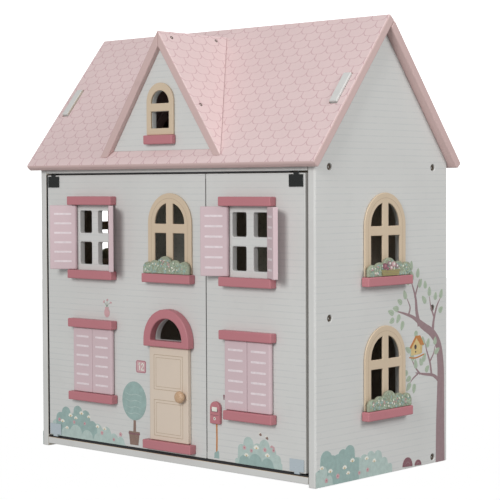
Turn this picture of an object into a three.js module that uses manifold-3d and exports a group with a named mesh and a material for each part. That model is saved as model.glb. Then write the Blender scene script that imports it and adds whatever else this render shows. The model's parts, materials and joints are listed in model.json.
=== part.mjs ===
// A three-storey wooden dollhouse with a hinged front roof, two front doors on pivot clips,
// an entrance door, eight shutters and a dormer. Millimetres, +X right, +Y to the back, +Z up.
import * as THREE from 'three';
import { mergeVertices } from 'three/addons/utils/BufferGeometryUtils.js';
import Module from 'manifold-3d';

const wasm = await Module();
wasm.setup();

// ---- Driving dimensions, in millimetres and degrees ----
const WIDTH = 600;                // over the outer faces of the side walls
const DEPTH = 322;                // side wall, front edge to back edge
const WALL = 14;                  // side wall board
const FLOOR = 11;                 // base, first floor and attic floor boards
const PARTITION = 9;              // inner walls
const BACK = 6;                   // back panel
const BACK_INSET = 3;             // back panel's outer face behind the walls' back edges
const BASE_LIFT = 4.3;            // underside of the base board above the ground
const GROUND_STOREY = 222.5;      // clear height of the ground storey
const UPPER_STOREY = 207.7;       // clear height of the upper storey
const FIT = 0.3;                  // gap between pieces that touch

const ROOF = 14;                  // roof boards
const ROOF_PITCH = 51.05;         // slope of both roof boards
const EAVE_OUT = 20;              // eave's upper corner in front of the walls
const ROOF_OVER_FLOOR = 3.5;      // roof board over the attic floor's front upper corner
const VERGE = 14;                 // roof boards past the side walls
const RIDGE_SHORT = 2.3;          // front roof board's upper corner short of the ridge line
const RIDGE_EASE = 4;             // rear board's upper corner eased for the hinge, down its face
const RIDGE_EASE_DOWN = 1;        // and down its end
const TENON_FROM_EAVE = 112;      // lower end of each tenon, along the slope
const TENON_LENGTH = 55;
const TENON_PROUD = 3;            // above the front roof board
const TENON_CLEAR = 1.5;          // play at the ends of each slot
const TENON_SIDE_CLEAR = 0.6;     // play at the sides of each slot

const DOOR = 11;                  // front door boards
const DOOR_SIDE_GAP = 4;          // door edge to side wall
const DOOR_TOP_GAP = 3;
const DOOR_BOTTOM_GAP = 4.2;
const DOOR_SPLIT_GAP = 2;
const PIVOT_INSET = 16;           // door pivot from the door's hinge edge
const PIVOT_RADIUS = 2;
const PIVOT_PLAY = 0.4;           // round each pivot pin
const PIVOT_LENGTH = 5;           // pin past the clip, into the board
const CLIP_WIDTH = 27;
const CLIP_HEIGHT = 18;
const CLIP_PLATE = 1.2;
const CLIP_EDGE = 2;              // clip plate in from the door's end
const CLIP_SIDE = 3;              // clip plate in from the door's hinge edge
const CLIP_NECK = 10;             // width of the strap over the door's end
const FLOOR_SETBACK = 24;         // inner boards behind the front, clear of the doors' heels

const LEDGE_LENGTH = 105;         // lintels, sills and doorstep
const LEDGE = 14;                 // their height and depth
const WINDOW_HEIGHT = 105.8;      // from sill to lintel
const LOWER_SILL = 70.4;          // lower sill's underside above the base board
const UPPER_SILL = 36.4;          // upper sill's underside above the first floor
const PANE_WIDTH = 28.4;          // square windows, four panes each
const PANE_HEIGHT = 36.4;
const PANE_CORNER = 3;
const MULLION = 14.5;
const SHUTTER_WIDTH = 46.4;
const SHUTTER = 7.5;              // thickness
const SHUTTER_PLAY = 0.6;         // over, under and between shutters
const SHUTTER_BACK_GAP = 0.4;     // between a closed shutter and the door
const MAILBOX_WIDTH = 20.6;
const MAILBOX_HEIGHT = 34;
const MAILBOX = 5.5;
const MAILBOX_FROM_SILL = 10;     // mailbox underside below the sill's underside
const MAILBOX_GAP = 14;           // between the mailbox and the shortened sill
const SHORT_SILL_CUT = 8.5;       // taken off the left end of the sill beside the mailbox

const ARCH_WIDTH = 95;            // arched frame over the entrance
const ARCH_HEIGHT = 125;          // all arched frames
const ARCH_BORDER = 15;
const ARCH_BOTTOM = 9.4;
const ARCH_FRAME = 3.5;           // frame plate
const REVEAL = 10.5;              // wall opening outside the frame's panes
const SIDE_ARCH_WIDTH = 100;      // arched frames of the side walls
const SIDE_ARCH_FRAME = 3;        // their thickness
const SIDE_LEDGE_LENGTH = 109.5;  // their sills
const SIDE_PLANT_LENGTH = 105.5;
const PLANT = 5;                  // plant board
const PLANT_FRONT = 1.5;          // plant board behind the sill's front
const PLANT_LENGTH = 100;

const HOOD_WIDTH = 98.6;
const HOOD_BORDER = 14.6;
const HOOD_BAR = 9.8;             // under the half-moon
const ENTRANCE_WIDTH = 85.7;
const ENTRANCE_HEIGHT = 147.5;    // between doorstep and hood
const DOORWAY_LAP = 6;            // entrance door over its doorway on each side
const DOORSTEP_UP = 4.6;          // doorstep above the door board's lower end
const KNOB_RADIUS = 9.5;
const KNOB_NECK = 5.9;            // its neck's radius
const KNOB_STAND = 6.5;           // its widest part off the door
const KNOB_FROM_EDGE = 10.7;
const KNOB_UP = 73.3;             // above the entrance door's lower end

const DORMER_SHIFT = -7;          // dormer's middle from the house's middle
const DORMER_OUT = 11;            // dormer roof boards in front of the walls
const DORMER_HALF = 134.2;        // half width over the dormer roof boards' feet
const DORMER_PITCH = 55.6;
const GABLE_OUT = 3;              // gable's face in front of the walls
const GABLE = 9;
const DORMER_WINDOW_WIDTH = 58.8;
const DORMER_WINDOW_HEIGHT = 81;
const DORMER_FRAME = 4;           // thickness of its frame
const DORMER_WINDOW_BORDER = 9.6;
const DORMER_WINDOW_DROP = 2.5;   // half-moon's base under the frame's spring line
const DORMER_WINDOW_BAR = 12.5;
const DORMER_WINDOW_BOTTOM = 10.6;
const DORMER_SILL_UP = 24;        // dormer sill's top above the gable's lower edge
const DORMER_SILL_LENGTH = 63;
const DORMER_SILL_DEPTH = 10;
const DORMER_OPENING_WIDTH = 96;  // hole in the roof board behind the dormer
const DORMER_OPENING_START = 62;  // along the slope from the eave
const DORMER_OPENING_LENGTH = 88;

const HINGE_LENGTH = 420;         // ridge hinge
const HINGE_KNUCKLES = 21;
const HINGE_RADIUS = 2;
const HINGE_LEAF = 0.8;
const HINGE_LEAF_WIDTH = 9;
const HINGE_PLAY = 0.4;

const INNER_DOOR_WIDTH = 78;      // doorways in the partitions
const INNER_DOOR_HEIGHT = 160;
const PARTITION_FROM_LEFT = 244.5; // middle of the partitions from the left wall's outer face
const SCREW_HOLE = 5.2;           // radius of the recesses for the assembly screws
const SCREW_DEPTH = 3;
const SCREW_FRONT = 33;           // screws from the front and from the back
const SCREW_BACK = 37;
const CATCH = [46, 12, 9];        // magnetic catch, along X, Y and Z

// Shutter angles at rest, away from closed
const OPEN = {
  left_upper: [150, 138],
  right_upper: [162, 143],
  left_lower: [0, 0],
  right_lower: [0, 0],
};

// Spare width of the front, shared out between the columns of windows
const SPARE_SHARES = { leftEdge: 0.2563, leftMiddle: 0.2842, leftSplit: 0.085, rightSplit: 0.1518 };

const ARC = 12;                   // straight pieces in a half circle
const CORNER_ARC = 4;             // and in a pane's corner

// ---- Places worked out from the sizes ----
const baseTop = BASE_LIFT + FLOOR;
const firstBottom = baseTop + GROUND_STOREY;
const firstTop = firstBottom + FLOOR;
const atticBottom = firstTop + UPPER_STOREY;
const atticTop = atticBottom + FLOOR;
const pitch = THREE.MathUtils.degToRad(ROOF_PITCH);
const along = new THREE.Vector2(Math.cos(pitch), Math.sin(pitch));
const inward = new THREE.Vector2(Math.sin(pitch), -Math.cos(pitch));
const roofUpright = ROOF / Math.cos(pitch);
const eaveZ = atticTop + ROOF_OVER_FLOOR + roofUpright - EAVE_OUT * Math.tan(pitch);
const eave = new THREE.Vector2(-EAVE_OUT, eaveZ);
const apexZ = eave.y + (DEPTH / 2 - eave.x) * Math.tan(pitch);
const roofZ = (y) => eave.y + (y - eave.x) * Math.tan(pitch);
const innerRoofZ = (y) => roofZ(y) - roofUpright;

const doorBottom = baseTop + DOOR_BOTTOM_GAP;
const doorTop = atticBottom - DOOR_TOP_GAP;
const doorsLeft = WALL + DOOR_SIDE_GAP;
const doorsRight = WIDTH - WALL - DOOR_SIDE_GAP;
const spare = doorsRight - doorsLeft - DOOR_SPLIT_GAP - 3 * LEDGE_LENGTH;
const leftWindowX = doorsLeft + SPARE_SHARES.leftEdge * spare + LEDGE_LENGTH / 2;
const entranceX = leftWindowX + LEDGE_LENGTH + SPARE_SHARES.leftMiddle * spare;
const splitLeft = entranceX + LEDGE_LENGTH / 2 + SPARE_SHARES.leftSplit * spare;
const splitRight = splitLeft + DOOR_SPLIT_GAP;
const rightWindowX = splitRight + SPARE_SHARES.rightSplit * spare + LEDGE_LENGTH / 2;
const lowerSillTop = baseTop + LOWER_SILL + LEDGE;
const upperSillTop = firstTop + UPPER_SILL + LEDGE;
const doorstepTop = doorBottom + DOORSTEP_UP + LEDGE;
const hoodBottom = doorstepTop + ENTRANCE_HEIGHT;
const dormerX = WIDTH / 2 + DORMER_SHIFT;

// ---- Materials ----
const paint = (color, roughness = 0.6) => new THREE.MeshStandardMaterial({ color, roughness });
const metal = (color, roughness) => new THREE.MeshStandardMaterial({ color, roughness, metalness: 1 });
const looks = {
  wall: paint(0xd8d9d5),
  roof: paint(0xe3bcc0),
  rose: paint(0xb9707a),
  shutter: paint(0xd9b3bd),
  cream: paint(0xd6bf9f),
  plant: paint(0x9db9a6),
  knob: paint(0xc08b54, 0.5),
  clip: metal(0x3a3d42, 0.2),
  steel: metal(0xb8babd, 0.35),
  catch: paint(0xe8e8e6, 0.4),
};

// ---- Shapes ----
function box(x0, x1, y0, y1, z0, z1) {
  const geometry = new THREE.BoxGeometry(x1 - x0, y1 - y0, z1 - z0);
  return geometry.translate((x0 + x1) / 2, (y0 + y1) / 2, (z0 + z1) / 2);
}

// A shape drawn in X and Z, extruded along Y
function alongY(shape, y0, y1) {
  const geometry = new THREE.ExtrudeGeometry(shape, { depth: y1 - y0, bevelEnabled: false, curveSegments: ARC });
  return geometry.rotateX(Math.PI / 2).translate(0, y1, 0);
}

// A shape drawn in Y and Z, extruded along X
function alongX(shape, x0, x1) {
  const geometry = new THREE.ExtrudeGeometry(shape, { depth: x1 - x0, bevelEnabled: false, curveSegments: ARC });
  const turn = new THREE.Matrix4().makeBasis(
    new THREE.Vector3(0, 1, 0),
    new THREE.Vector3(0, 0, 1),
    new THREE.Vector3(1, 0, 0),
  );
  return geometry.applyMatrix4(turn).translate(x0, 0, 0);
}

// A shape drawn in X and Y, extruded along Z
function alongZ(shape, z0, z1) {
  const geometry = new THREE.ExtrudeGeometry(shape, { depth: z1 - z0, bevelEnabled: false, curveSegments: ARC });
  return geometry.translate(0, 0, z0);
}

const polygon = (points) => new THREE.Shape(points.map(([a, b]) => new THREE.Vector2(a, b)));

function rectangle(a0, a1, b0, b1) {
  return polygon([[a0, b0], [a1, b0], [a1, b1], [a0, b1]]);
}

// A rectangle with round corners
function roundedRectangle(a0, a1, b0, b1, r) {
  const points = [];
  const centres = [[a1 - r, b1 - r], [a0 + r, b1 - r], [a0 + r, b0 + r], [a1 - r, b0 + r]];
  centres.forEach(([a, b], quarter) => {
    for (let i = 0; i <= CORNER_ARC; i += 1) {
      const angle = (Math.PI / 2) * (quarter + i / CORNER_ARC);
      points.push([a + r * Math.cos(angle), b + r * Math.sin(angle)]);
    }
  });
  return polygon(points);
}

// A rectangle with a half-round top; middle is its centre line and top the crown
function arch(middle, width, bottom, top) {
  const r = width / 2;
  const shape = new THREE.Shape();
  shape.moveTo(middle - r, bottom);
  shape.lineTo(middle + r, bottom);
  shape.lineTo(middle + r, top - r);
  shape.absarc(middle, top - r, r, 0, Math.PI, false);
  return shape;
}

function halfDisc(middle, base, radius) {
  const shape = new THREE.Shape();
  shape.absarc(middle, base, radius, 0, Math.PI, false);
  return shape;
}

// One half of a half disc, beside an upright mullion; side is -1 or 1
function quarterPane(middle, base, radius, mullion, side) {
  const x = mullion / 2;
  const end = Math.acos(x / radius);
  const shape = new THREE.Shape();
  shape.moveTo(middle + side * x, base);
  for (let i = 0; i <= ARC; i += 1) {
    const angle = (end * i) / ARC;
    shape.lineTo(middle + side * radius * Math.cos(angle), base + radius * Math.sin(angle));
  }
  return shape;
}

function cylinderZ(x, y, radius, z0, z1, sides = 24) {
  const geometry = new THREE.CylinderGeometry(radius, radius, z1 - z0, sides);
  return geometry.rotateX(Math.PI / 2).translate(x, y, (z0 + z1) / 2);
}

function cylinderX(y, z, radius, x0, x1, sides = 24) {
  const geometry = new THREE.CylinderGeometry(radius, radius, x1 - x0, sides);
  return geometry.rotateZ(Math.PI / 2).translate((x0 + x1) / 2, y, z);
}

// ---- Booleans ----
function toSolid(geometry) {
  const bare = geometry.clone();
  bare.deleteAttribute('normal');
  bare.deleteAttribute('uv');
  const merged = mergeVertices(bare, 1e-4);
  return new wasm.Manifold(new wasm.Mesh({
    numProp: 3,
    vertProperties: Float32Array.from(merged.attributes.position.array),
    triVerts: Uint32Array.from(merged.index.array),
  }));
}

function toGeometry(solid) {
  const { vertProperties, triVerts } = solid.getMesh();
  const geometry = new THREE.BufferGeometry();
  geometry.setAttribute('position', new THREE.BufferAttribute(Float32Array.from(vertProperties), 3));
  geometry.setIndex(Array.from(triVerts));
  geometry.computeVertexNormals();
  return geometry;
}

const join = (geometries) => toGeometry(geometries.map(toSolid).reduce((a, b) => a.add(b)));

function cut(geometry, cutters) {
  let solid = toSolid(geometry);
  for (const cutter of cutters) {
    solid = solid.subtract(toSolid(cutter));
  }
  return toGeometry(solid);
}

// An extruded outline with holes right through it
function pierce(extrude, outline, holes, from, to) {
  return cut(extrude(outline, from, to), holes.map((hole) => extrude(hole, from - 1, to + 1)));
}

// ---- The house ----
const house = new THREE.Group();

function piece(name, geometry, look) {
  const mesh = new THREE.Mesh(geometry, looks[look]);
  mesh.name = name;
  house.add(mesh);
  return mesh;
}

// Panes of an arched frame, as shapes: a pair over a pair
function archPanes(middle, width, bottom, top) {
  const r = width / 2 - ARCH_BORDER;
  const spring = top - width / 2;
  const low = bottom + ARCH_BOTTOM;
  const high = spring - MULLION;
  const half = MULLION / 2;
  return [
    quarterPane(middle, spring, r, MULLION, -1),
    quarterPane(middle, spring, r, MULLION, 1),
    rectangle(middle - r, middle - half, low, high),
    rectangle(middle + half, middle + r, low, high),
  ];
}

// The opening in the wall behind an arched frame
function archOpening(middle, width, sillTop) {
  const crown = sillTop + ARCH_HEIGHT - ARCH_BORDER + REVEAL;
  return arch(middle, width - 2 * ARCH_BORDER + 2 * REVEAL, sillTop + ARCH_BOTTOM - REVEAL, crown);
}

// Leaves in five lobes over a straight lower edge
function plantOutline(middle, base, length) {
  const lobes = [[-0.4, 8, 10], [-0.24, 8, 13], [-0.02, 10.5, 17], [0.2, 9, 13], [0.39, 9, 11]];
  const half = length / 2;
  const steps = 40;
  const points = [[middle + half, base], [middle - half, base]];
  for (let i = 0; i <= steps; i += 1) {
    const x = -half + (2 * half * i) / steps;
    const heights = lobes.map(([share, up, r]) => {
      const across = (x - share * length) / r;
      return Math.abs(across) < 1 ? up + r * Math.sqrt(1 - across * across) : up;
    });
    points.push([middle + x, base + Math.max(...heights)]);
  }
  return polygon(points.reverse());
}

// ---- Side walls with their windows ----
function wallOutline() {
  const gap = FIT / Math.cos(pitch);
  const tenonPoint = (distance, up) => eave.clone()
    .addScaledVector(along, distance)
    .addScaledVector(inward, -up);
  const start = TENON_FROM_EAVE;
  const end = TENON_FROM_EAVE + TENON_LENGTH;
  const under = -ROOF - FIT;
  const tenon = [
    tenonPoint(start, under),
    tenonPoint(start, TENON_PROUD),
    tenonPoint(end, TENON_PROUD),
    tenonPoint(end, under),
  ].map((p) => [p.x, p.y]);
  return polygon([
    [0, 0],
    [DEPTH, 0],
    [DEPTH, innerRoofZ(0) - gap],
    [DEPTH / 2, innerRoofZ(DEPTH / 2) - gap],
    ...tenon.reverse(),
    [0, innerRoofZ(0) - gap],
  ]);
}

const screwHeights = [baseTop - FLOOR / 2, firstTop - FLOOR / 2, atticTop - FLOOR / 2];

function sideWall(name, outer, inner) {
  const [x0, x1] = [Math.min(outer, inner), Math.max(outer, inner)];
  const out = Math.sign(outer - inner);
  const cutters = [lowerSillTop, upperSillTop].map((sillTop) => {
    return alongX(archOpening(DEPTH / 2, SIDE_ARCH_WIDTH, sillTop), x0 - 1, x1 + 1);
  });
  for (const z of screwHeights) {
    for (const y of [SCREW_FRONT, DEPTH - SCREW_BACK]) {
      const from = outer - out * SCREW_DEPTH;
      cutters.push(cylinderX(y, z, SCREW_HOLE, Math.min(from, outer + out), Math.max(from, outer + out)));
    }
  }
  piece(name, cut(alongX(wallOutline(), x0, x1), cutters), 'wall');
}

function sideWindow(side, level, face, out, sillTop) {
  const near = face + out * FIT;
  const span = (depth, from = near) => [Math.min(from, from + out * depth), Math.max(from, from + out * depth)];
  const middle = DEPTH / 2;
  const top = sillTop + ARCH_HEIGHT;
  const frame = arch(middle, SIDE_ARCH_WIDTH, sillTop + FIT, top);
  const panes = archPanes(middle, SIDE_ARCH_WIDTH, sillTop, top);
  piece(`${side}_wall_${level}_frame`, pierce(alongX, frame, panes, ...span(SIDE_ARCH_FRAME)), 'cream');
  const half = SIDE_LEDGE_LENGTH / 2;
  const sill = box(...span(LEDGE - FIT), middle - half, middle + half, sillTop - LEDGE, sillTop);
  piece(`${side}_wall_${level}_sill`, sill, 'rose');
  const plantBack = face + out * (LEDGE - PLANT_FRONT - PLANT);
  const outline = plantOutline(middle, sillTop + FIT, SIDE_PLANT_LENGTH);
  const plant = alongX(outline, ...span(PLANT, plantBack));
  piece(`${side}_wall_${level}_plant`, plant, 'plant');
}

// ---- Carcass ----
const innerLeft = WALL + FIT;
const innerRight = WIDTH - WALL - FIT;
const backFace = DEPTH - BACK_INSET - BACK;
const pivotLeft = doorsLeft + PIVOT_INSET;
const pivotRight = doorsRight - PIVOT_INSET;
const pivotY = DOOR / 2;

function carcass() {
  sideWall('side_wall_left', 0, WALL);
  sideWall('side_wall_right', WIDTH, WIDTH - WALL);
  const floorBack = backFace - FIT;
  const holes = (z0, z1) => [pivotLeft, pivotRight].map(
    (x) => cylinderZ(x, pivotY, PIVOT_RADIUS + PIVOT_PLAY, z0, z1),
  );
  const base = box(innerLeft, innerRight, 0, floorBack, BASE_LIFT, baseTop);
  piece('base_board', cut(base, holes(baseTop - PIVOT_LENGTH - 1, baseTop + 1)), 'wall');
  const first = box(innerLeft, innerRight, FLOOR_SETBACK, floorBack, firstBottom, firstTop);
  piece('first_floor', first, 'wall');
  const attic = box(innerLeft, innerRight, 0, floorBack, atticBottom, atticTop);
  piece('attic_floor', cut(attic, holes(atticBottom - 1, atticBottom + PIVOT_LENGTH + 1)), 'wall');
  const back = box(innerLeft, innerRight, backFace, backFace + BACK, BASE_LIFT, atticTop);
  piece('back_panel', back, 'wall');
  partition('ground_partition', baseTop, firstBottom);
  partition('upper_partition', firstTop, atticBottom);
}

function partition(name, from, to) {
  const x = PARTITION_FROM_LEFT;
  const doorway = (FLOOR_SETBACK + backFace) / 2 + INNER_DOOR_WIDTH / 2;
  const board = rectangle(FLOOR_SETBACK, backFace - FIT, from + FIT, to - FIT);
  const opening = arch(doorway, INNER_DOOR_WIDTH, from, from + INNER_DOOR_HEIGHT);
  piece(name, pierce(alongX, board, [opening], x - PARTITION / 2, x + PARTITION / 2), 'wall');
}

function magneticCatch() {
  const [length, depth, height] = CATCH;
  const middle = (splitLeft + splitRight) / 2;
  const y = DOOR + 2 * FIT + 1;
  const top = atticBottom - FIT;
  piece('magnetic_catch', box(middle - length / 2, middle + length / 2, y, y + depth, top - height, top), 'catch');
}

// ---- Roof ----
const boardEnd = (DEPTH / 2 - RIDGE_SHORT - eave.x) / along.x;
const roofPoint = (distance, down) => eave.clone()
  .addScaledVector(along, distance)
  .addScaledVector(inward, down);

// The hinge pin stands one radius off the front board's upper end and off the rear board's face
function ridgePin() {
  const off = HINGE_RADIUS + FIT;
  const endNormal = along;
  const rearNormal = new THREE.Vector2(along.y, along.x);
  const a = roofPoint(boardEnd, ROOF).dot(endNormal) + off;
  const b = new THREE.Vector2(DEPTH / 2, apexZ).dot(rearNormal) + off;
  const det = endNormal.x * rearNormal.y - endNormal.y * rearNormal.x;
  return new THREE.Vector2(
    (a * rearNormal.y - b * endNormal.y) / det,
    (endNormal.x * b - rearNormal.x * a) / det,
  );
}

const hingePin = ridgePin();

// A box on the front slope: across X, along the slope from the eave, and down from its face
function slopeBox(x0, x1, from, to, top, bottom) {
  const section = [[from, top], [to, top], [to, bottom], [from, bottom]].map(([s, d]) => {
    const p = roofPoint(s, d);
    return [p.x, p.y];
  });
  return alongX(polygon(section.reverse()), x0, x1);
}

function frontRoofBoard() {
  const slots = [[0, WALL], [WIDTH - WALL, WIDTH]].map(([x0, x1]) => slopeBox(
    x0 - TENON_SIDE_CLEAR,
    x1 + TENON_SIDE_CLEAR,
    TENON_FROM_EAVE - TENON_CLEAR,
    TENON_FROM_EAVE + TENON_LENGTH + TENON_CLEAR,
    -1,
    ROOF + 1,
  ));
  const half = DORMER_OPENING_WIDTH / 2;
  const opening = slopeBox(
    dormerX - half,
    dormerX + half,
    DORMER_OPENING_START,
    DORMER_OPENING_START + DORMER_OPENING_LENGTH,
    -1,
    ROOF + 1,
  );
  const board = slopeBox(-VERGE, WIDTH + VERGE, 0, boardEnd, 0, ROOF);
  piece('roof_front_board', cut(board, [...slots, opening]), 'roof');
}

function rearRoofBoard() {
  const gap = FIT / Math.cos(pitch);
  const middle = DEPTH / 2;
  const mirrored = (p) => [DEPTH - p.x, p.y];
  const lapZ = (y) => innerRoofZ(y) - gap;
  const rearZ = (y) => apexZ - (y - middle) * Math.tan(pitch);
  const upperY = middle + (rearZ(middle) - lapZ(middle)) / (2 * Math.tan(pitch));
  const lowerY = middle + (innerRoofZ(middle) - lapZ(middle)) / (2 * Math.tan(pitch));
  const section = [
    mirrored(roofPoint(0, ROOF)),
    mirrored(roofPoint(0, 0)),
    [upperY + RIDGE_EASE * along.x, lapZ(upperY) - RIDGE_EASE * along.y],
    [upperY - RIDGE_EASE_DOWN * along.x, lapZ(upperY) - RIDGE_EASE_DOWN * along.y],
    [lowerY, lapZ(lowerY)],
  ];
  piece('roof_rear_board', alongX(polygon(section), -VERGE, WIDTH + VERGE), 'roof');
}

// A thin leaf from the pin along a direction, with its knuckles; which is 0 or 1
function hingeLeaf(name, direction, which) {
  const knuckle = HINGE_LENGTH / HINGE_KNUCKLES;
  const start = WIDTH / 2 - HINGE_LENGTH / 2;
  const side = new THREE.Vector2(-direction.y, direction.x);
  const corner = (s, d) => {
    const p = hingePin.clone().addScaledVector(direction, s).addScaledVector(side, d);
    return [p.x, p.y];
  };
  const strip = (from, to, x0, x1) => {
    const d0 = which === 0 ? HINGE_RADIUS - HINGE_LEAF : -HINGE_RADIUS;
    const d1 = d0 + HINGE_LEAF;
    return alongX(polygon([corner(from, d0), corner(to, d0), corner(to, d1), corner(from, d1)]), x0, x1);
  };
  const clear = HINGE_RADIUS + HINGE_PLAY;
  const parts = [strip(clear, clear + HINGE_LEAF_WIDTH, start, start + HINGE_LENGTH)];
  for (let i = which; i < HINGE_KNUCKLES; i += 2) {
    const x0 = start + i * knuckle + HINGE_PLAY / 2;
    const x1 = x0 + knuckle - HINGE_PLAY;
    parts.push(cylinderX(hingePin.x, hingePin.y, HINGE_RADIUS, x0, x1, 12));
    parts.push(strip(0, clear + 1, x0, x1));
  }
  piece(name, join(parts), 'steel');
}

function ridgeHinge() {
  const downBack = new THREE.Vector2(along.x, -along.y);
  const towardsCorner = inward.clone().negate();
  hingeLeaf('ridge_hinge_fixed_leaf', downBack, 1);
  hingeLeaf('ridge_hinge_moving_leaf', towardsCorner, 0);
}

// ---- Dormer on the front roof board ----
const dormerPitch = THREE.MathUtils.degToRad(DORMER_PITCH);
const dormerFootZ = roofZ(-DORMER_OUT);
const dormerApexZ = dormerFootZ + DORMER_HALF * Math.tan(dormerPitch);
const dormerBackY = (dormerApexZ - eave.y) / Math.tan(pitch) + eave.x + ROOF;
const dormerRise = ROOF / Math.cos(dormerPitch);

function belowRoof() {
  const low = -DORMER_OUT - 100;
  const high = dormerBackY + 100;
  const lift = FIT / Math.cos(pitch);
  const section = [[low, roofZ(low) + lift], [low, -100], [high, -100], [high, roofZ(high) + lift]];
  return alongX(polygon(section), -VERGE, WIDTH + VERGE);
}

// Both boards meet on the dormer's middle plane
function dormerBoard(name, side) {
  const meet = FIT / 2;
  const foot = DORMER_HALF + DORMER_OUT + ROOF;
  const outerZ = (x) => dormerApexZ - x * Math.tan(dormerPitch);
  const section = [
    [meet, outerZ(meet)],
    [meet, outerZ(meet) - dormerRise],
    [foot, outerZ(foot) - dormerRise],
    [foot, outerZ(foot)],
  ];
  const shape = polygon(section.map(([x, z]) => [dormerX + side * x, z]));
  const board = alongY(shape, -DORMER_OUT, dormerBackY);
  piece(name, cut(board, [belowRoof()]), 'roof');
}

function dormer() {
  dormerBoard('dormer_roof_right', 1);
  dormerBoard('dormer_roof_left', -1);
  const face = -GABLE_OUT;
  const foot = roofZ(face) + FIT / Math.cos(pitch);
  const underZ = (x) => dormerApexZ - dormerRise - FIT * 2 - Math.abs(x) * Math.tan(dormerPitch);
  const half = (underZ(0) - foot) / Math.tan(dormerPitch);
  const outline = polygon([[dormerX - half, foot], [dormerX + half, foot], [dormerX, underZ(0)]]);
  const sillTop = foot + DORMER_SILL_UP;
  const windowTop = sillTop + DORMER_WINDOW_HEIGHT;
  const pane = DORMER_WINDOW_WIDTH / 2 - DORMER_WINDOW_BORDER;
  const moonBase = windowTop - DORMER_WINDOW_WIDTH / 2 - DORMER_WINDOW_DROP;
  const panes = [
    halfDisc(dormerX, moonBase, pane),
    rectangle(dormerX - pane, dormerX + pane, sillTop + DORMER_WINDOW_BOTTOM, moonBase - DORMER_WINDOW_BAR),
  ];
  const gable = cut(alongY(outline, face, face + GABLE), [belowRoof()]);
  const holes = panes.map((shape) => alongY(shape, face - 1, face + GABLE + 1));
  piece('dormer_gable', cut(gable, holes), 'wall');
  const frame = arch(dormerX, DORMER_WINDOW_WIDTH, sillTop + FIT, windowTop);
  piece('dormer_frame', pierce(alongY, frame, panes, face - FIT - DORMER_FRAME, face - FIT), 'cream');
  const length = DORMER_SILL_LENGTH / 2;
  const front = face - DORMER_SILL_DEPTH;
  const sill = box(dormerX - length, dormerX + length, front, face - FIT, sillTop - LEDGE, sillTop);
  piece('dormer_sill', sill, 'rose');
}

// ---- Front doors ----
function squareWindowHoles(middle, sillTop) {
  const centre = sillTop + WINDOW_HEIGHT / 2;
  const holes = [];
  for (const sx of [-1, 1]) {
    for (const sz of [-1, 1]) {
      const x0 = middle + sx * (MULLION / 2);
      const x1 = middle + sx * (MULLION / 2 + PANE_WIDTH);
      const z0 = centre + sz * (MULLION / 2);
      const z1 = centre + sz * (MULLION / 2 + PANE_HEIGHT);
      const across = [Math.min(x0, x1), Math.max(x0, x1)];
      holes.push(roundedRectangle(...across, Math.min(z0, z1), Math.max(z0, z1), PANE_CORNER));
    }
  }
  return holes;
}

function doorBoard(name, x0, x1, holes) {
  const board = rectangle(x0, x1, doorBottom, doorTop);
  piece(name, pierce(alongY, board, holes, 0, DOOR), 'wall');
}

function frontDoors() {
  const archHole = archOpening(entranceX, ARCH_WIDTH, upperSillTop);
  const doorwayHalf = ENTRANCE_WIDTH / 2 - DOORWAY_LAP;
  const doorway = rectangle(
    entranceX - doorwayHalf,
    entranceX + doorwayHalf,
    doorstepTop + DOORWAY_LAP,
    hoodBottom - DOORWAY_LAP,
  );
  const fanlight = halfDisc(entranceX, hoodBottom + HOOD_BAR, HOOD_WIDTH / 2 - HOOD_BORDER);
  doorBoard('door_left_board', doorsLeft, splitLeft, [
    ...squareWindowHoles(leftWindowX, lowerSillTop),
    ...squareWindowHoles(leftWindowX, upperSillTop),
    archHole,
    doorway,
    fanlight,
  ]);
  doorBoard('door_right_board', splitRight, doorsRight, [
    ...squareWindowHoles(rightWindowX, lowerSillTop),
    ...squareWindowHoles(rightWindowX, upperSillTop),
  ]);
}

// A clip round the door board's end: front and back plates, a strap over the end and the pivot pin
function pivotClip(name, pivotX, inwards, end, up) {
  const edge = pivotX - inwards * (PIVOT_INSET - CLIP_SIDE);
  const xs = [edge, edge + inwards * CLIP_WIDTH].sort((a, b) => a - b);
  const neck = [pivotX - CLIP_NECK / 2, pivotX + CLIP_NECK / 2];
  const zs = (a, b) => [end - up * a, end - up * b].sort((p, q) => p - q);
  const plate = zs(CLIP_EDGE, CLIP_EDGE + CLIP_HEIGHT);
  const tab = zs(-FIT - CLIP_PLATE, CLIP_EDGE + 1);
  const strap = zs(-FIT - CLIP_PLATE, -FIT);
  const pin = zs(-FIT, -(up > 0 ? DOOR_TOP_GAP : DOOR_BOTTOM_GAP) - PIVOT_LENGTH);
  const front = [-FIT - CLIP_PLATE, -FIT];
  const back = [DOOR + FIT, DOOR + FIT + CLIP_PLATE];
  piece(name, join([
    box(...xs, ...front, ...plate),
    box(...xs, ...back, ...plate),
    box(...neck, ...front, ...tab),
    box(...neck, ...back, ...tab),
    box(...neck, front[0], back[1], ...strap),
    cylinderZ(pivotX, pivotY, PIVOT_RADIUS, ...pin),
  ]), 'clip');
}

function pivotClips() {
  pivotClip('door_left_clip_top', pivotLeft, 1, doorTop, 1);
  pivotClip('door_left_clip_bottom', pivotLeft, 1, doorBottom, -1);
  pivotClip('door_right_clip_top', pivotRight, -1, doorTop, 1);
  pivotClip('door_right_clip_bottom', pivotRight, -1, doorBottom, -1);
}

function ledge(name, x0, x1, bottom) {
  piece(name, box(x0, x1, -LEDGE, -FIT, bottom, bottom + LEDGE), 'rose');
}

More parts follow.
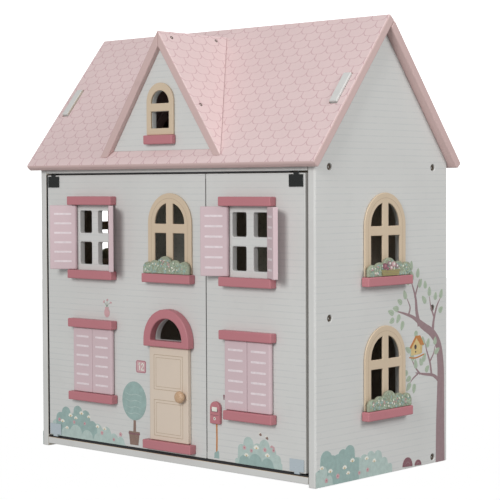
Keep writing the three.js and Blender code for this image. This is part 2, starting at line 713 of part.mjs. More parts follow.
// A shutter on its pin, closed towards +X (hand 1) or -X (hand -1), then turned open
function shutter(name, pinX, hand, sillTop, angle) {
  const r = SHUTTER / 2;
  const outline = new THREE.Shape();
  outline.moveTo(0, -r);
  outline.lineTo(SHUTTER_WIDTH - r, -r);
  outline.lineTo(SHUTTER_WIDTH - r, r);
  outline.lineTo(0, r);
  outline.absarc(0, 0, r, Math.PI / 2, Math.PI * 1.5, false);
  const height = WINDOW_HEIGHT - 2 * SHUTTER_PLAY;
  const geometry = alongZ(outline, 0, height);
  if (hand < 0) {
    geometry.rotateZ(Math.PI);
  }
  const mesh = piece(name, geometry, 'shutter');
  mesh.rotation.z = -hand * THREE.MathUtils.degToRad(angle);
  mesh.position.set(pinX, -SHUTTER_BACK_GAP - r, sillTop + SHUTTER_PLAY);
}

function squareWindow(name, middle, sillTop, cutLeft) {
  const half = LEDGE_LENGTH / 2;
  ledge(`${name}_lintel`, middle - half, middle + half, sillTop + WINDOW_HEIGHT);
  ledge(`${name}_sill`, middle - half + cutLeft, middle + half, sillTop - LEDGE);
  const pin = SHUTTER_WIDTH + SHUTTER_PLAY / 2 - SHUTTER / 2;
  const [left, right] = OPEN[name];
  shutter(`${name}_shutter_l`, middle - pin, 1, sillTop, left);
  shutter(`${name}_shutter_r`, middle + pin, -1, sillTop, right);
}

function archedDoorWindow() {
  const top = upperSillTop + ARCH_HEIGHT;
  const frame = arch(entranceX, ARCH_WIDTH, upperSillTop + FIT, top);
  const panes = archPanes(entranceX, ARCH_WIDTH, upperSillTop, top);
  piece('middle_upper_frame', pierce(alongY, frame, panes, -FIT - ARCH_FRAME, -FIT), 'cream');
  const half = LEDGE_LENGTH / 2;
  ledge('middle_upper_sill', entranceX - half, entranceX + half, upperSillTop - LEDGE);
  const front = -LEDGE + PLANT_FRONT;
  const outline = plantOutline(entranceX, upperSillTop + FIT, PLANT_LENGTH);
  const plant = alongY(outline, front, front + PLANT);
  piece('middle_upper_plant', plant, 'plant');
}

function entrance() {
  const r = HOOD_WIDTH / 2;
  const hood = arch(entranceX, HOOD_WIDTH, hoodBottom, hoodBottom + HOOD_BAR + r);
  const halfMoon = halfDisc(entranceX, hoodBottom + HOOD_BAR, r - HOOD_BORDER);
  piece('entrance_hood', pierce(alongY, hood, [halfMoon], -LEDGE, -FIT), 'rose');
  const half = LEDGE_LENGTH / 2;
  ledge('doorstep', entranceX - half, entranceX + half, doorstepTop - LEDGE);
  const edge = SHUTTER / 2;
  const y = -SHUTTER_BACK_GAP - edge;
  const left = entranceX - ENTRANCE_WIDTH / 2;
  const outline = new THREE.Shape();
  outline.moveTo(left + edge, y - edge);
  outline.lineTo(left + ENTRANCE_WIDTH, y - edge);
  outline.lineTo(left + ENTRANCE_WIDTH, y + edge);
  outline.lineTo(left + edge, y + edge);
  outline.absarc(left + edge, y, edge, Math.PI / 2, Math.PI * 1.5, false);
  const door = alongZ(outline, doorstepTop + SHUTTER_PLAY, hoodBottom - SHUTTER_PLAY);
  piece('entrance_door', door, 'cream');
  knob(left + ENTRANCE_WIDTH - KNOB_FROM_EDGE, y - edge - FIT, doorstepTop + KNOB_UP);
}

function knob(x, y, z) {
  const profile = [new THREE.Vector2(0, 0), new THREE.Vector2(KNOB_NECK, 0)];
  const steps = 10;
  for (let i = 0; i <= steps; i += 1) {
    const angle = -Math.PI / 5 + ((Math.PI / 2 + Math.PI / 5) * i) / steps;
    const radius = i === steps ? 0 : KNOB_RADIUS * Math.cos(angle);
    profile.push(new THREE.Vector2(radius, KNOB_STAND + KNOB_NECK * Math.sin(angle)));
  }
  const geometry = new THREE.LatheGeometry(profile, 28).rotateX(Math.PI);
  piece('entrance_knob', geometry, 'knob').position.set(x, y, z);
}

function mailbox() {
  const right = rightWindowX - LEDGE_LENGTH / 2 + SHORT_SILL_CUT - MAILBOX_GAP;
  const bottom = lowerSillTop - LEDGE - MAILBOX_FROM_SILL;
  const middle = right - MAILBOX_WIDTH / 2;
  const outline = arch(middle, MAILBOX_WIDTH, bottom, bottom + MAILBOX_HEIGHT);
  piece('mailbox', alongY(outline, -FIT - MAILBOX, -FIT), 'rose');
}

carcass();
for (const [side, face, out] of [['left', 0, -1], ['right', WIDTH, 1]]) {
  sideWindow(side, 'lower', face, out, lowerSillTop);
  sideWindow(side, 'upper', face, out, upperSillTop);
}
magneticCatch();
rearRoofBoard();
frontRoofBoard();
ridgeHinge();
dormer();
frontDoors();
pivotClips();
squareWindow('left_lower', leftWindowX, lowerSillTop, 0);
squareWindow('left_upper', leftWindowX, upperSillTop, 0);
squareWindow('right_lower', rightWindowX, lowerSillTop, SHORT_SILL_CUT);
squareWindow('right_upper', rightWindowX, upperSillTop, 0);
archedDoorWindow();
entrance();
mailbox();

// The origin is the middle of the whole box, on the ground
const bounds = new THREE.Box3().setFromObject(house, true);
const centre = bounds.getCenter(new THREE.Vector3());
house.position.set(-centre.x, -centre.y, 0);
house.updateMatrixWorld(true);

export default house;
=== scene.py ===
"""Looks for a three-storey wooden dollhouse: rounded painted boards, printed planks, scales and plants."""
import json
import math
import random

import bmesh
import bpy
from mathutils import Matrix, Vector


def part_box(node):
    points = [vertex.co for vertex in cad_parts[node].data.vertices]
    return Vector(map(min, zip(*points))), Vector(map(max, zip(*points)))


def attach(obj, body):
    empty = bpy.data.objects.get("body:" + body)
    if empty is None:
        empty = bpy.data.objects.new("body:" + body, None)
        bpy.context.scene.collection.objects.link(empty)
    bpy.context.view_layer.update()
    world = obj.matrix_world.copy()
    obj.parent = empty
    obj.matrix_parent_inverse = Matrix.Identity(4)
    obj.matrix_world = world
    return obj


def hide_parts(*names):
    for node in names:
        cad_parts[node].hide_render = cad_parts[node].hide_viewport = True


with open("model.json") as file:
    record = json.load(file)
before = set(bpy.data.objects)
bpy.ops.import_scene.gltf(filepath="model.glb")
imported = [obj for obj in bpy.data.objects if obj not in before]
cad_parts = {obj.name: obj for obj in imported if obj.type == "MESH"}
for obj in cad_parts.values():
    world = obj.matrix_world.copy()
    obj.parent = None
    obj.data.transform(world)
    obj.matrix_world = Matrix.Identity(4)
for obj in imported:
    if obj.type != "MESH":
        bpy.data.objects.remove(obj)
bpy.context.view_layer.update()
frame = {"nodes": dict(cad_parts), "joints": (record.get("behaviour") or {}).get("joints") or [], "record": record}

MM = 0.001
NODES = frame["nodes"]
BODY_OF = {}
for body_name, members in frame["record"]["behaviour"]["bodies"].items():
    for member in members:
        BODY_OF[member] = body_name
SLOT_OF = {part["node"]: part["material_slot"] for part in frame["record"]["subparts"]}

# ---- Sizes shared with the joinery, in millimetres ----
WIDTH = 600.0
DEPTH = 322.0
DOOR = 11.0
ROOF_PITCH = math.radians(51.05)
EAVE = (-20.0, 468.525)
VERGE = 14.0
WALL_ROUND = 3.0
EAVE_ROUND = 5.0
DORMER_PITCH = math.radians(55.6)
DORMER_X = 293.0
DORMER_APEX = 675.6
ARCH_HEIGHT = 125.0
SHUTTER_W = 46.4
SHUTTER_T = 7.5
SHUTTER_H = 104.6
SHUTTER_PIN = 42.95
SHUTTER_OUT = 4.15
SHUTTER_PLAY = 0.6
LOUVRE_INSET = 5.0
LOUVRE_TALL = 3.2
LOUVRES = 6
LOUVRE_PITCH = 15.5
LOUVRE_FIRST = 13.0
PLANK = 9.5
SCALE_WIDE = 28.8
SCALE_ROW = 15.1
SCALE_ROUND = 9.5
DOT_PITCH = 14.0
STRIP_WIDE = 22.0
STRIP_LONG = 130.0
SCREW_HEIGHTS = (9.8, 243.3, 462.0)
LOWER_SILL = 99.7
UPPER_SILL = 299.2
WINDOW_X = {"left": 133.8, "right": 474.5}
WINDOW_HEIGHT = 105.8
PANE_STEP = 50.9
HALF_MOON = 213.0
ENTRANCE_X = 309.0
ARCH_WIDTH = 95.0
SIDE_ARCH_WIDTH = 100.0
PLANT_LENGTH = 100.0
SIDE_PLANT_LENGTH = 105.5
PLANT_OUT = 12.5
SCREW_FRONT = 33.0
SCREW_BACK = 37.0
REST_ANGLES = {
    "left_upper": (150, 138),
    "right_upper": (162, 143),
    "left_lower": (0, 0),
    "right_lower": (0, 0),
}

AHEAD = 10.0  # metres added to a place so that its pattern counts up from a positive number

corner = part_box("side_wall_left")[0]
ORIGIN = Vector((corner[0], corner[1], 0.0))


def at(x, y, z):
    """A point given in millimetres from the left wall's outer front edge on the ground."""
    return ORIGIN + Vector((x, y, z)) * MM


# ---- Colours ----
def srgb(red, green, blue):
    def linear(value):
        value /= 255.0
        return value / 12.92 if value <= 0.04045 else ((value + 0.055) / 1.055) ** 2.4
    return (linear(red), linear(green), linear(blue), 1.0)


def shade(color, factor):
    return tuple(min(1.0, c * factor) for c in color[:3]) + (1.0,)


# ---- Shader building ----
LOOKS = {}


class Shader:
    def __init__(self, name):
        self.material = bpy.data.materials.new(name)
        LOOKS[name] = self.material
        self.material.use_nodes = True
        self.nodes = self.material.node_tree.nodes
        self.links = self.material.node_tree.links
        self.surface = self.nodes["Principled BSDF"]
        self.coords = self.nodes.new("ShaderNodeTexCoord").outputs["Object"]

    def put(self, socket, value):
        if isinstance(value, bpy.types.NodeSocket):
            self.links.new(value, socket)
        else:
            socket.default_value = value

    def set(self, name, value):
        self.put(self.surface.inputs[name], value)

    def math(self, operation, *values, clamp=False):
        node = self.nodes.new("ShaderNodeMath")
        node.operation = operation
        node.use_clamp = clamp
        for socket, value in zip(node.inputs, values):
            self.put(socket, value)
        return node.outputs[0]

    def add(self, first, second):
        return self.math("ADD", first, second)

    def less(self, first, second):
        return self.math("SUBTRACT", first, second)

    def times(self, first, second):
        return self.math("MULTIPLY", first, second)

    def off_middle(self, value):
        """How far a value is from the middle of its unit step."""
        return self.math("ABSOLUTE", self.less(self.math("FRACT", value), 0.5))

    def axes(self):
        node = self.nodes.new("ShaderNodeSeparateXYZ")
        self.put(node.inputs[0], self.coords)
        return node.outputs[0], node.outputs[1], node.outputs[2]

    def scaled(self, factors):
        node = self.nodes.new("ShaderNodeMapping")
        self.put(node.inputs["Vector"], self.coords)
        node.inputs["Scale"].default_value = factors
        return node.outputs[0]

    def noise(self, scale, detail=3.0, roughness=0.55, vector=None):
        node = self.nodes.new("ShaderNodeTexNoise")
        self.put(node.inputs["Vector"], vector or self.coords)
        node.inputs["Scale"].default_value = scale
        node.inputs["Detail"].default_value = detail
        node.inputs["Roughness"].default_value = roughness
        return node.outputs[0]

    def span(self, value, low, high, to_low=0.0, to_high=1.0):
        node = self.nodes.new("ShaderNodeMapRange")
        for key, number in zip(("From Min", "From Max", "To Min", "To Max"), (low, high, to_low, to_high)):
            node.inputs[key].default_value = number
        self.put(node.inputs["Value"], value)
        return node.outputs[0]

    def mix(self, factor, first, second):
        node = self.nodes.new("ShaderNodeMix")
        node.data_type = "RGBA"
        self.put(node.inputs[0], factor)
        self.put(node.inputs[6], first)
        self.put(node.inputs[7], second)
        return node.outputs[2]

    def bump(self, height, distance, strength=1.0):
        node = self.nodes.new("ShaderNodeBump")
        node.inputs["Strength"].default_value = strength
        node.inputs["Distance"].default_value = distance
        self.put(node.inputs["Height"], height)
        return node.outputs[0]


def plank_lines(shader):
    """Thin level lines, a little wavy, one each PLANK millimetres."""
    _, _, z = shader.axes()
    wave = shader.times(shader.less(shader.noise(14.0, 1.0), 0.5), 0.0011)
    rows = shader.math("DIVIDE", shader.add(z, wave), PLANK * MM)
    line = shader.span(shader.off_middle(rows), 0.055, 0.11, 1.0, 0.0)
    faint = shader.span(shader.noise(55.0, 2.0), 0.35, 0.62, 0.15, 0.5)
    return shader.math("MULTIPLY", line, faint, clamp=True)


def scale_lines(shader, across, up):
    """Outlines of round-ended scales in staggered rows; across and up are distances in metres."""
    wide, row, corner_r = SCALE_WIDE * MM, SCALE_ROW * MM, SCALE_ROUND * MM
    rows = shader.math("DIVIDE", up, row)
    rise = shader.times(shader.math("FRACT", rows), row)
    odd = shader.times(shader.math("FLOORED_MODULO", shader.math("FLOOR", rows), 2.0), 0.5)
    cell = shader.add(shader.math("DIVIDE", across, wide), odd)
    side = shader.times(shader.off_middle(cell), wide)
    over = shader.math("MAXIMUM", shader.less(side, wide / 2 - corner_r), 0.0)
    under = shader.math("MAXIMUM", shader.less(corner_r, rise), 0.0)
    reach = shader.math("SQRT", shader.add(shader.math("POWER", over, 2.0), shader.math("POWER", under, 2.0)))
    off = shader.math("ABSOLUTE", shader.less(reach, corner_r))
    return shader.span(off, 0.00035, 0.00095, 1.0, 0.0)


def paint(name, color, rough=0.5, grain=(1.0, 9.0, 9.0), lines=None, line_color=None,
          wear=0.12, relief=0.00005):
    """Satin paint over wood: a little cloudy, long grain just showing, small scuffs."""
    shader = Shader(name)
    clouds = shader.span(shader.noise(7.0, 4.0), 0.3, 0.7)
    tone = shader.mix(clouds, shade(color, 0.965), shade(color, 1.02))
    fibres = shader.noise(110.0, 3.0, 0.6, shader.scaled(grain))
    tone = shader.mix(shader.span(fibres, 0.42, 0.75, 0.0, 0.13), tone, shade(color, 0.86))
    if lines is not None:
        tone = shader.mix(lines(shader), tone, line_color)
    dust = shader.math("MULTIPLY", shader.span(shader.noise(38.0, 6.0, 0.7), 0.58, 0.75), wear, clamp=True)
    tone = shader.mix(dust, tone, shade(color, 0.72))
    shader.set("Base Color", tone)
    shader.set("Roughness", shader.span(shader.noise(60.0, 4.0), 0.3, 0.7, rough - 0.06, rough + 0.1))
    peel = shader.add(shader.noise(900.0, 2.0), shader.times(fibres, 1.2))
    shader.set("Normal", shader.bump(peel, relief, 0.5))


def wood(name, light, dark):
    """Clear-lacquered wood with rings."""
    shader = Shader(name)
    along = shader.scaled((9.0, 1.0, 9.0))
    bend = shader.noise(30.0, 4.0, 0.6, along)
    year = shader.span(shader.off_middle(shader.times(bend, 7.0)), 0.0, 0.5)
    tone = shader.mix(year, light, dark)
    pores = shader.span(shader.noise(700.0, 2.0, 0.6, along), 0.58, 0.7)
    tone = shader.mix(shader.times(pores, 0.4), tone, shade(dark, 0.6))
    shader.set("Base Color", tone)
    shader.set("Roughness", shader.span(pores, 0.0, 1.0, 0.42, 0.57))
    shader.set("Normal", shader.bump(shader.less(year, pores), 0.00006, 0.5))


def metal(name, color, rough):
    """Plated metal with fine scratches and cloudy spots."""
    shader = Shader(name)
    scratch = shader.noise(1600.0, 3.0, 0.6, shader.scaled((1.0, 1.0, 18.0)))
    spots = shader.span(shader.noise(120.0, 5.0, 0.65), 0.52, 0.72)
    shader.set("Base Color", shader.mix(shader.times(spots, 0.3), color, shade(color, 0.55)))
    shader.set("Metallic", 1.0)
    grit = shader.add(shader.times(scratch, 0.12), shader.times(spots, 0.12))
    shader.set("Roughness", shader.add(grit, rough))
    shader.set("Normal", shader.bump(scratch, 0.00003, 0.3))


def print_ink(name, color):
    """Matt printed colour with a slightly uneven lay of ink."""
    shader = Shader(name)
    patch = shader.span(shader.noise(160.0, 4.0), 0.35, 0.65)
    tone = shader.mix(patch, shade(color, 0.92), shade(color, 1.05))
    mottle = shader.span(shader.noise(1400.0, 2.0), 0.5, 0.8, 0.0, 0.16)
    shader.set("Base Color", shader.mix(mottle, tone, srgb(226, 228, 224)))
    shader.set("Roughness", shader.span(patch, 0.0, 1.0, 0.5, 0.62))


def roof_slope(forward):
    """Scale lines for a slope that rises towards the back (forward 1) or the front (-1)."""
    def lines(shader):
        x, y, z = shader.axes()
        level = shader.times(y, forward * math.cos(ROOF_PITCH))
        up = shader.add(level, shader.times(z, math.sin(ROOF_PITCH)))
        start = at(0, EAVE[0] if forward > 0 else DEPTH - EAVE[0], EAVE[1])
        offset = start.y * forward * math.cos(ROOF_PITCH) + start.z * math.sin(ROOF_PITCH)
        return scale_lines(shader, shader.add(x, AHEAD), shader.less(up, offset - 20 * SCALE_ROW * MM))
    return lines


def dormer_slope(side):
    """Scale lines for the dormer's slope that falls to the right (side 1) or the left (-1)."""
    def lines(shader):
        x, y, z = shader.axes()
        level = shader.times(x, -side * math.cos(DORMER_PITCH))
        up = shader.add(level, shader.times(z, math.sin(DORMER_PITCH)))
        return scale_lines(shader, shader.add(y, AHEAD), shader.add(up, AHEAD))
    return lines


def room_lines(shader):
    """Small dots in a diamond lay, as on wallpaper."""
    x, y, z = shader.axes()
    flat = shader.add(x, y)
    parts = []
    for value in (shader.add(flat, z), shader.less(flat, z)):
        turn = shader.math("FRACT", shader.add(shader.math("DIVIDE", value, DOT_PITCH * MM), 50.0))
        parts.append(shader.math("POWER", shader.less(turn, 0.5), 2.0))
    return shader.span(shader.math("SQRT", shader.add(*parts)), 0.10, 0.15, 0.7, 0.0)


def floor_lines(shader):
    """Joints between printed floor strips running along X."""
    x, y, _ = shader.axes()
    rows = shader.math("DIVIDE", shader.add(y, 5.0), STRIP_WIDE * MM)
    seam = shader.span(shader.off_middle(rows), 0.455, 0.48)
    shift = shader.times(shader.math("FLOOR", rows), 0.37)
    ends = shader.add(shader.math("DIVIDE", shader.add(x, 5.0), STRIP_LONG * MM), shift)
    end = shader.span(shader.off_middle(ends), 0.49, 0.497)
    return shader.times(shader.math("MAXIMUM", seam, end), 0.65)


WHITE = srgb(213, 213, 210)
PINK = srgb(228, 204, 203)
SCALE_PINK = srgb(205, 171, 174)
ROSE = srgb(190, 122, 129)
CREAM = srgb(211, 191, 165)
SHUTTER_PINK = srgb(212, 189, 193)

paint("wall", WHITE, 0.5, lines=plank_lines, line_color=srgb(194, 197, 196))
paint("plain", WHITE, 0.48, wear=0.2)
paint("room", srgb(186, 178, 164), 0.6, lines=room_lines, line_color=srgb(180, 162, 150))
paint("room_upper", srgb(222, 226, 218), 0.6, lines=room_lines, line_color=srgb(190, 204, 196))
paint("floor", srgb(205, 180, 150), 0.5, lines=floor_lines, line_color=srgb(150, 122, 96))
paint("roof_front", PINK, 0.5, lines=roof_slope(1), line_color=SCALE_PINK)
paint("roof_rear", PINK, 0.5, lines=roof_slope(-1), line_color=SCALE_PINK)
paint("dormer_right", PINK, 0.5, lines=dormer_slope(1), line_color=SCALE_PINK)
paint("dormer_left", PINK, 0.5, lines=dormer_slope(-1), line_color=SCALE_PINK)
paint("roof_edge", srgb(208, 180, 176), 0.5, wear=0.3)
paint("rose", ROSE, 0.45, wear=0.2)
paint("shutter", SHUTTER_PINK, 0.45, grain=(9.0, 9.0, 1.0))
print_ink("louvre", srgb(232, 219, 222))
paint("cream", CREAM, 0.48, grain=(9.0, 9.0, 1.0), relief=0.0001)
paint("door_cream", srgb(221, 205, 188), 0.48, grain=(9.0, 9.0, 1.0), relief=0.0001)
print_ink("cream_line", srgb(186, 164, 138))
wood("knob", srgb(214, 182, 150), srgb(188, 152, 118))
metal("clip_dark", (0.075, 0.08, 0.078, 1.0), 0.16)
# pale grey paint in place of metal on the lower clips: their grey with the reflection of the white surroundings
# painted in
paint("clip_grey_painted_reflection", srgb(184, 195, 201), 0.28)
metal("steel", srgb(196, 197, 199), 0.25)
metal("screw", srgb(120, 108, 96), 0.3)
paint("catch", srgb(232, 232, 228), 0.4)
# near-black paint for the sheets that stand in for the shade inside the door gaps
paint("black_painted_shade", (0.02, 0.02, 0.022, 1.0), 0.6)

INK_COLORS = {
    "ink_teal": (153, 178, 173),
    "ink_teal_pale": (180, 198, 192),
    "ink_leaf": (172, 186, 164),
    "ink_leaf_dark": (140, 158, 138),
    "ink_sage": (153, 159, 136),
    "ink_trunk": (152, 126, 129),
    "ink_pink": (205, 165, 168),
    "ink_rose": (176, 112, 124),
    "ink_maroon": (132, 88, 96),
    "ink_white": (232, 230, 220),
    "ink_yellow": (205, 178, 120),
    "ink_body": (215, 190, 132),
    "ink_orange": (192, 126, 66),
    "ink_brown": (138, 112, 100),
    "ink_dark": (70, 58, 56),
    "ink_olive": (158, 148, 92),
}
INKS = list(INK_COLORS)
for ink, color in INK_COLORS.items():
    print_ink(ink, srgb(*color))


# ---- Meshes ----
def mesh_from(bm, name):
    mesh = bpy.data.meshes.new(name)
    bm.to_mesh(mesh)
    bm.free()
    return mesh


def band(bm, first, second):
    """The faces between two closed rows of corners."""
    for i in range(len(first)):
        j = (i + 1) % len(first)
        bm.faces.new((first[i], first[j], second[j], second[i]))


def closed(bm, low, high):
    """A solid between two closed rows of corners."""
    bm.faces.new(high)
    bm.faces.new(list(reversed(low)))
    band(bm, low, high)


def finish_object(name, mesh, looks, body, slot=None, smooth=True):
    obj = bpy.data.objects.new(name, mesh)
    bpy.context.scene.collection.objects.link(obj)
    for look in looks:
        mesh.materials.append(LOOKS[look])
    if smooth:
        mesh.shade_smooth()
    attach(obj, body)
    return obj


def object_from(bm, name, looks, body, slot=None, sharp=35.0):
    bmesh.ops.recalc_face_normals(bm, faces=bm.faces)
    mesh = mesh_from(bm, name)
    obj = finish_object(name, mesh, looks, body, slot)
    mesh.set_sharp_from_angle(angle=math.radians(sharp))
    return obj


def round_edges(obj, width, segments=3):
    bevel = obj.modifiers.new("rounding", "BEVEL")
    bevel.limit_method = "WEIGHT"
    bevel.width = width * MM
    bevel.segments = segments
    bevel.use_clamp_overlap = False
    bevel.harden_normals = True
    level = obj.modifiers.new("level", "WEIGHTED_NORMAL")
    level.keep_sharp = True
    level.weight = 100


def clean(bm, cuts=()):
    """Joins a CAD piece's triangles into whole faces; the cuts run through its holes."""
    bmesh.ops.remove_doubles(bm, verts=bm.verts, dist=2e-5)
    for point, normal in cuts:
        whole = bm.verts[:] + bm.edges[:] + bm.faces[:]
        made = bmesh.ops.bisect_plane(bm, geom=whole, dist=1e-6, plane_co=point, plane_no=normal)
        for item in made["geom_cut"]:
            if isinstance(item, bmesh.types.BMEdge):
                item.seam = True
    bmesh.ops.dissolve_limit(
        bm, angle_limit=math.radians(0.8), use_dissolve_boundaries=False,
        verts=bm.verts, edges=bm.edges, delimit={"NORMAL", "SEAM"},
    )


def weigh(bm, width, rule, least=25.0):
    """Gives each sharp edge its share of the rounding width; rule(edge) gives millimetres."""
    layer = bm.edges.layers.float.new("bevel_weight_edge")
    for edge in bm.edges:
        if len(edge.link_faces) != 2:
            continue
        if edge.calc_face_angle(0.0) < math.radians(least):
            continue
        wanted = width if rule is None else rule(edge)
        edge[layer] = wanted / width


def level_cuts(*heights):
    return [(at(0, 0, z), (0, 0, 1)) for z in heights]


def soften(node, width, looks, faces=None, rule=None, segments=3, least=25.0, cuts=()):
    """A copy of a CAD piece with rounded edges; faces(normal) picks the look of a face."""
    bm = bmesh.new()
    bm.from_mesh(NODES[node].data)
    clean(bm, cuts)
    bmesh.ops.recalc_face_normals(bm, faces=bm.faces)
    if faces is not None:
        for face in bm.faces:
            face.material_index = faces(face.normal)
    weigh(bm, width, rule, least)
    mesh = mesh_from(bm, node + "_look")
    obj = finish_object(node + "_look", mesh, looks, BODY_OF[node], SLOT_OF[node])
    mesh.set_sharp_from_angle(angle=math.radians(28.0))
    round_edges(obj, width, segments)
    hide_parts(node)


# ---- Boards ----
def edge_line(edge):
    """An edge's middle and direction."""
    first, second = (vert.co for vert in edge.verts)
    return (first + second) / 2, (first - second).normalized()


def side_walls():
    for name, out in (("side_wall_left", -1), ("side_wall_right", 1)):
        def faces(normal, out=out):
            if normal.x * out > 0.9:
                return 0
            if normal.x * out < -0.9:
                return 2
            return 1

        def rule(edge):
            middle, along = edge_line(edge)
            front = abs(along.z) > 0.99 and middle.y < at(0, 3, 0).y
            return WALL_ROUND if front else 1.2
        arches = [sill + ARCH_HEIGHT / 2 - 0.5 for sill in (LOWER_SILL, UPPER_SILL)]
        through = level_cuts(*SCREW_HEIGHTS, *arches)
        soften(name, WALL_ROUND, ["wall", "plain", "room"], faces, rule, segments=4, cuts=through)


def inner_boards():
    pin_row = [(at(0, DOOR / 2, 0), (0, 1, 0))]
    for name in ("base_board", "first_floor", "attic_floor"):
        soften(name, 1.2, ["plain", "floor"], lambda normal: 1 if normal.z > 0.9 else 0, cuts=pin_row)
    soften("back_panel", 0.8, ["plain", "room"], lambda normal: 1 if normal.y < -0.9 else 0)
    for name, look in (("ground_partition", "room"), ("upper_partition", "room_upper")):
        soften(name, 0.8, ["plain", look], lambda normal: 1 if abs(normal.x) > 0.9 else 0)
    soften("magnetic_catch", 1.0, ["catch"])


def front_first(normal):
    return 0 if normal.y < -0.9 else 1


def roof_boards():
    sine, cosine = math.sin(ROOF_PITCH), math.cos(ROOF_PITCH)

    def board(name, look, outward):
        def faces(normal):
            return 0 if normal.dot(outward) > 0.98 else 1

        def rule(edge):
            middle, along = edge_line(edge)
            low = middle.z < at(0, 0, EAVE[1] + 4).z
            if abs(along.x) > 0.99 and low:
                return EAVE_ROUND
            outline = abs(middle.x) > (WIDTH / 2 + VERGE - 1.5) * MM
            return 2.2 if outline or abs(along.x) > 0.99 else 1.0
        rise = Vector((0, cosine, sine))
        through = [(at(0, EAVE[0], EAVE[1]) + rise * 130 * MM, rise)] if name == "roof_front_board" else ()
        soften(name, EAVE_ROUND, [look, "roof_edge"], faces, rule, segments=5, cuts=through)
    board("roof_front_board", "roof_front", Vector((0, -sine, cosine)))
    board("roof_rear_board", "roof_rear", Vector((0, sine, cosine)))
    for hand, side in (("right", 1), ("left", -1)):
        outward = Vector((side * math.sin(DORMER_PITCH), 0, math.cos(DORMER_PITCH)))
        soften(
            "dormer_roof_" + hand, 1.6, ["dormer_" + hand, "roof_edge"],
            lambda normal, outward=outward: 0 if normal.dot(outward) > 0.98 else 1,
            lambda edge: 1.6 if edge.calc_length() > 0.004 else 0.0,
        )
    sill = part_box("dormer_sill")[1][2] / MM
    through = level_cuts(sill + 20, sill + 56)
    soften("dormer_gable", 1.0, ["wall", "plain"], front_first, cuts=through)


def front_boards():
    for name in ("door_left_board", "door_right_board"):
        middles = [sill + WINDOW_HEIGHT / 2 for sill in (LOWER_SILL, UPPER_SILL)]
        rows = [middle + side * PANE_STEP / 2 for middle in middles for side in (-1, 1)]
        through = level_cuts(*rows, HALF_MOON)
        soften(name, 1.3, ["wall", "plain"], front_first, cuts=through)


def trims():
    for node in NODES:
        if node.endswith(("_lintel", "_sill")) or node == "doorstep":
            soften(node, 1.6, ["rose"])
        elif node.endswith("_frame"):
            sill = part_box(node)[0][2] / MM
            rows = (20, 56) if node == "dormer_frame" else (35, 90)
            soften(node, 1.1, ["cream"], cuts=level_cuts(*(sill + up for up in rows)))
        elif node.endswith("_plant"):
            soften(node, 1.2, ["ink_sage"])
        elif "_clip_" in node:
            # the lower clips take the pale paint with their reflection painted in; the top clip is dark metal
            soften(node, 0.35, ["clip_dark" if node.endswith("top") else "clip_grey_painted_reflection"])
        elif node.startswith("ridge_hinge"):
            soften(node, 0.15, ["steel"], least=40.0)
    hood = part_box("entrance_hood")[0][2] / MM
    soften("entrance_hood", 1.6, ["rose"], cuts=level_cuts(hood + 18))
    soften("mailbox", 1.2, ["rose"])


# ---- Outlines, flat pieces and rods ----
def circle(steps):
    """Cosine and sine at equal steps of a whole turn."""
    return [(math.cos(math.tau * i / steps), math.sin(math.tau * i / steps)) for i in range(steps)]


def slot_outline(x0, x1, z0, z1, corner_r):
    """A rectangle with rounded corners as a list of (x, z)."""
    steps = 4
    points = []
    corners = ((x1 - corner_r, z1 - corner_r, 0), (x0 + corner_r, z1 - corner_r, 90),
               (x0 + corner_r, z0 + corner_r, 180), (x1 - corner_r, z0 + corner_r, 270))
    for cx, cz, start in corners:
        for i in range(steps + 1):
            angle = math.radians(start + 90 * i / steps)
            points.append((cx + corner_r * math.cos(angle), cz + corner_r * math.sin(angle)))
    return points


def prism(bm, points, y0, y1):
    """A closed solid over an outline drawn in X and Z, from y0 to y1, in millimetres."""
    near, far = [[bm.verts.new((x * MM, y * MM, z * MM)) for x, z in points] for y in (y0, y1)]
    closed(bm, far, near)


def flat_piece(name, look, body, y0, y1, *outlines):
    """Closed solids over outlines in the part's own X and Z, joined in one object."""
    bm = bmesh.new()
    for outline in outlines:
        prism(bm, outline, y0, y1)
    bmesh.ops.translate(bm, verts=bm.verts, vec=ORIGIN)
    return object_from(bm, name, [look], body)


def rod(name, body, middle, radius, length, turn=Matrix.Identity(4), slot=None):
    bm = bmesh.new()
    bmesh.ops.create_cone(
        bm, segments=16, radius1=radius * MM, radius2=radius * MM, depth=length * MM, cap_ends=True,
        matrix=Matrix.Translation(middle) @ turn,
    )
    object_from(bm, name, ["steel"], body, slot)


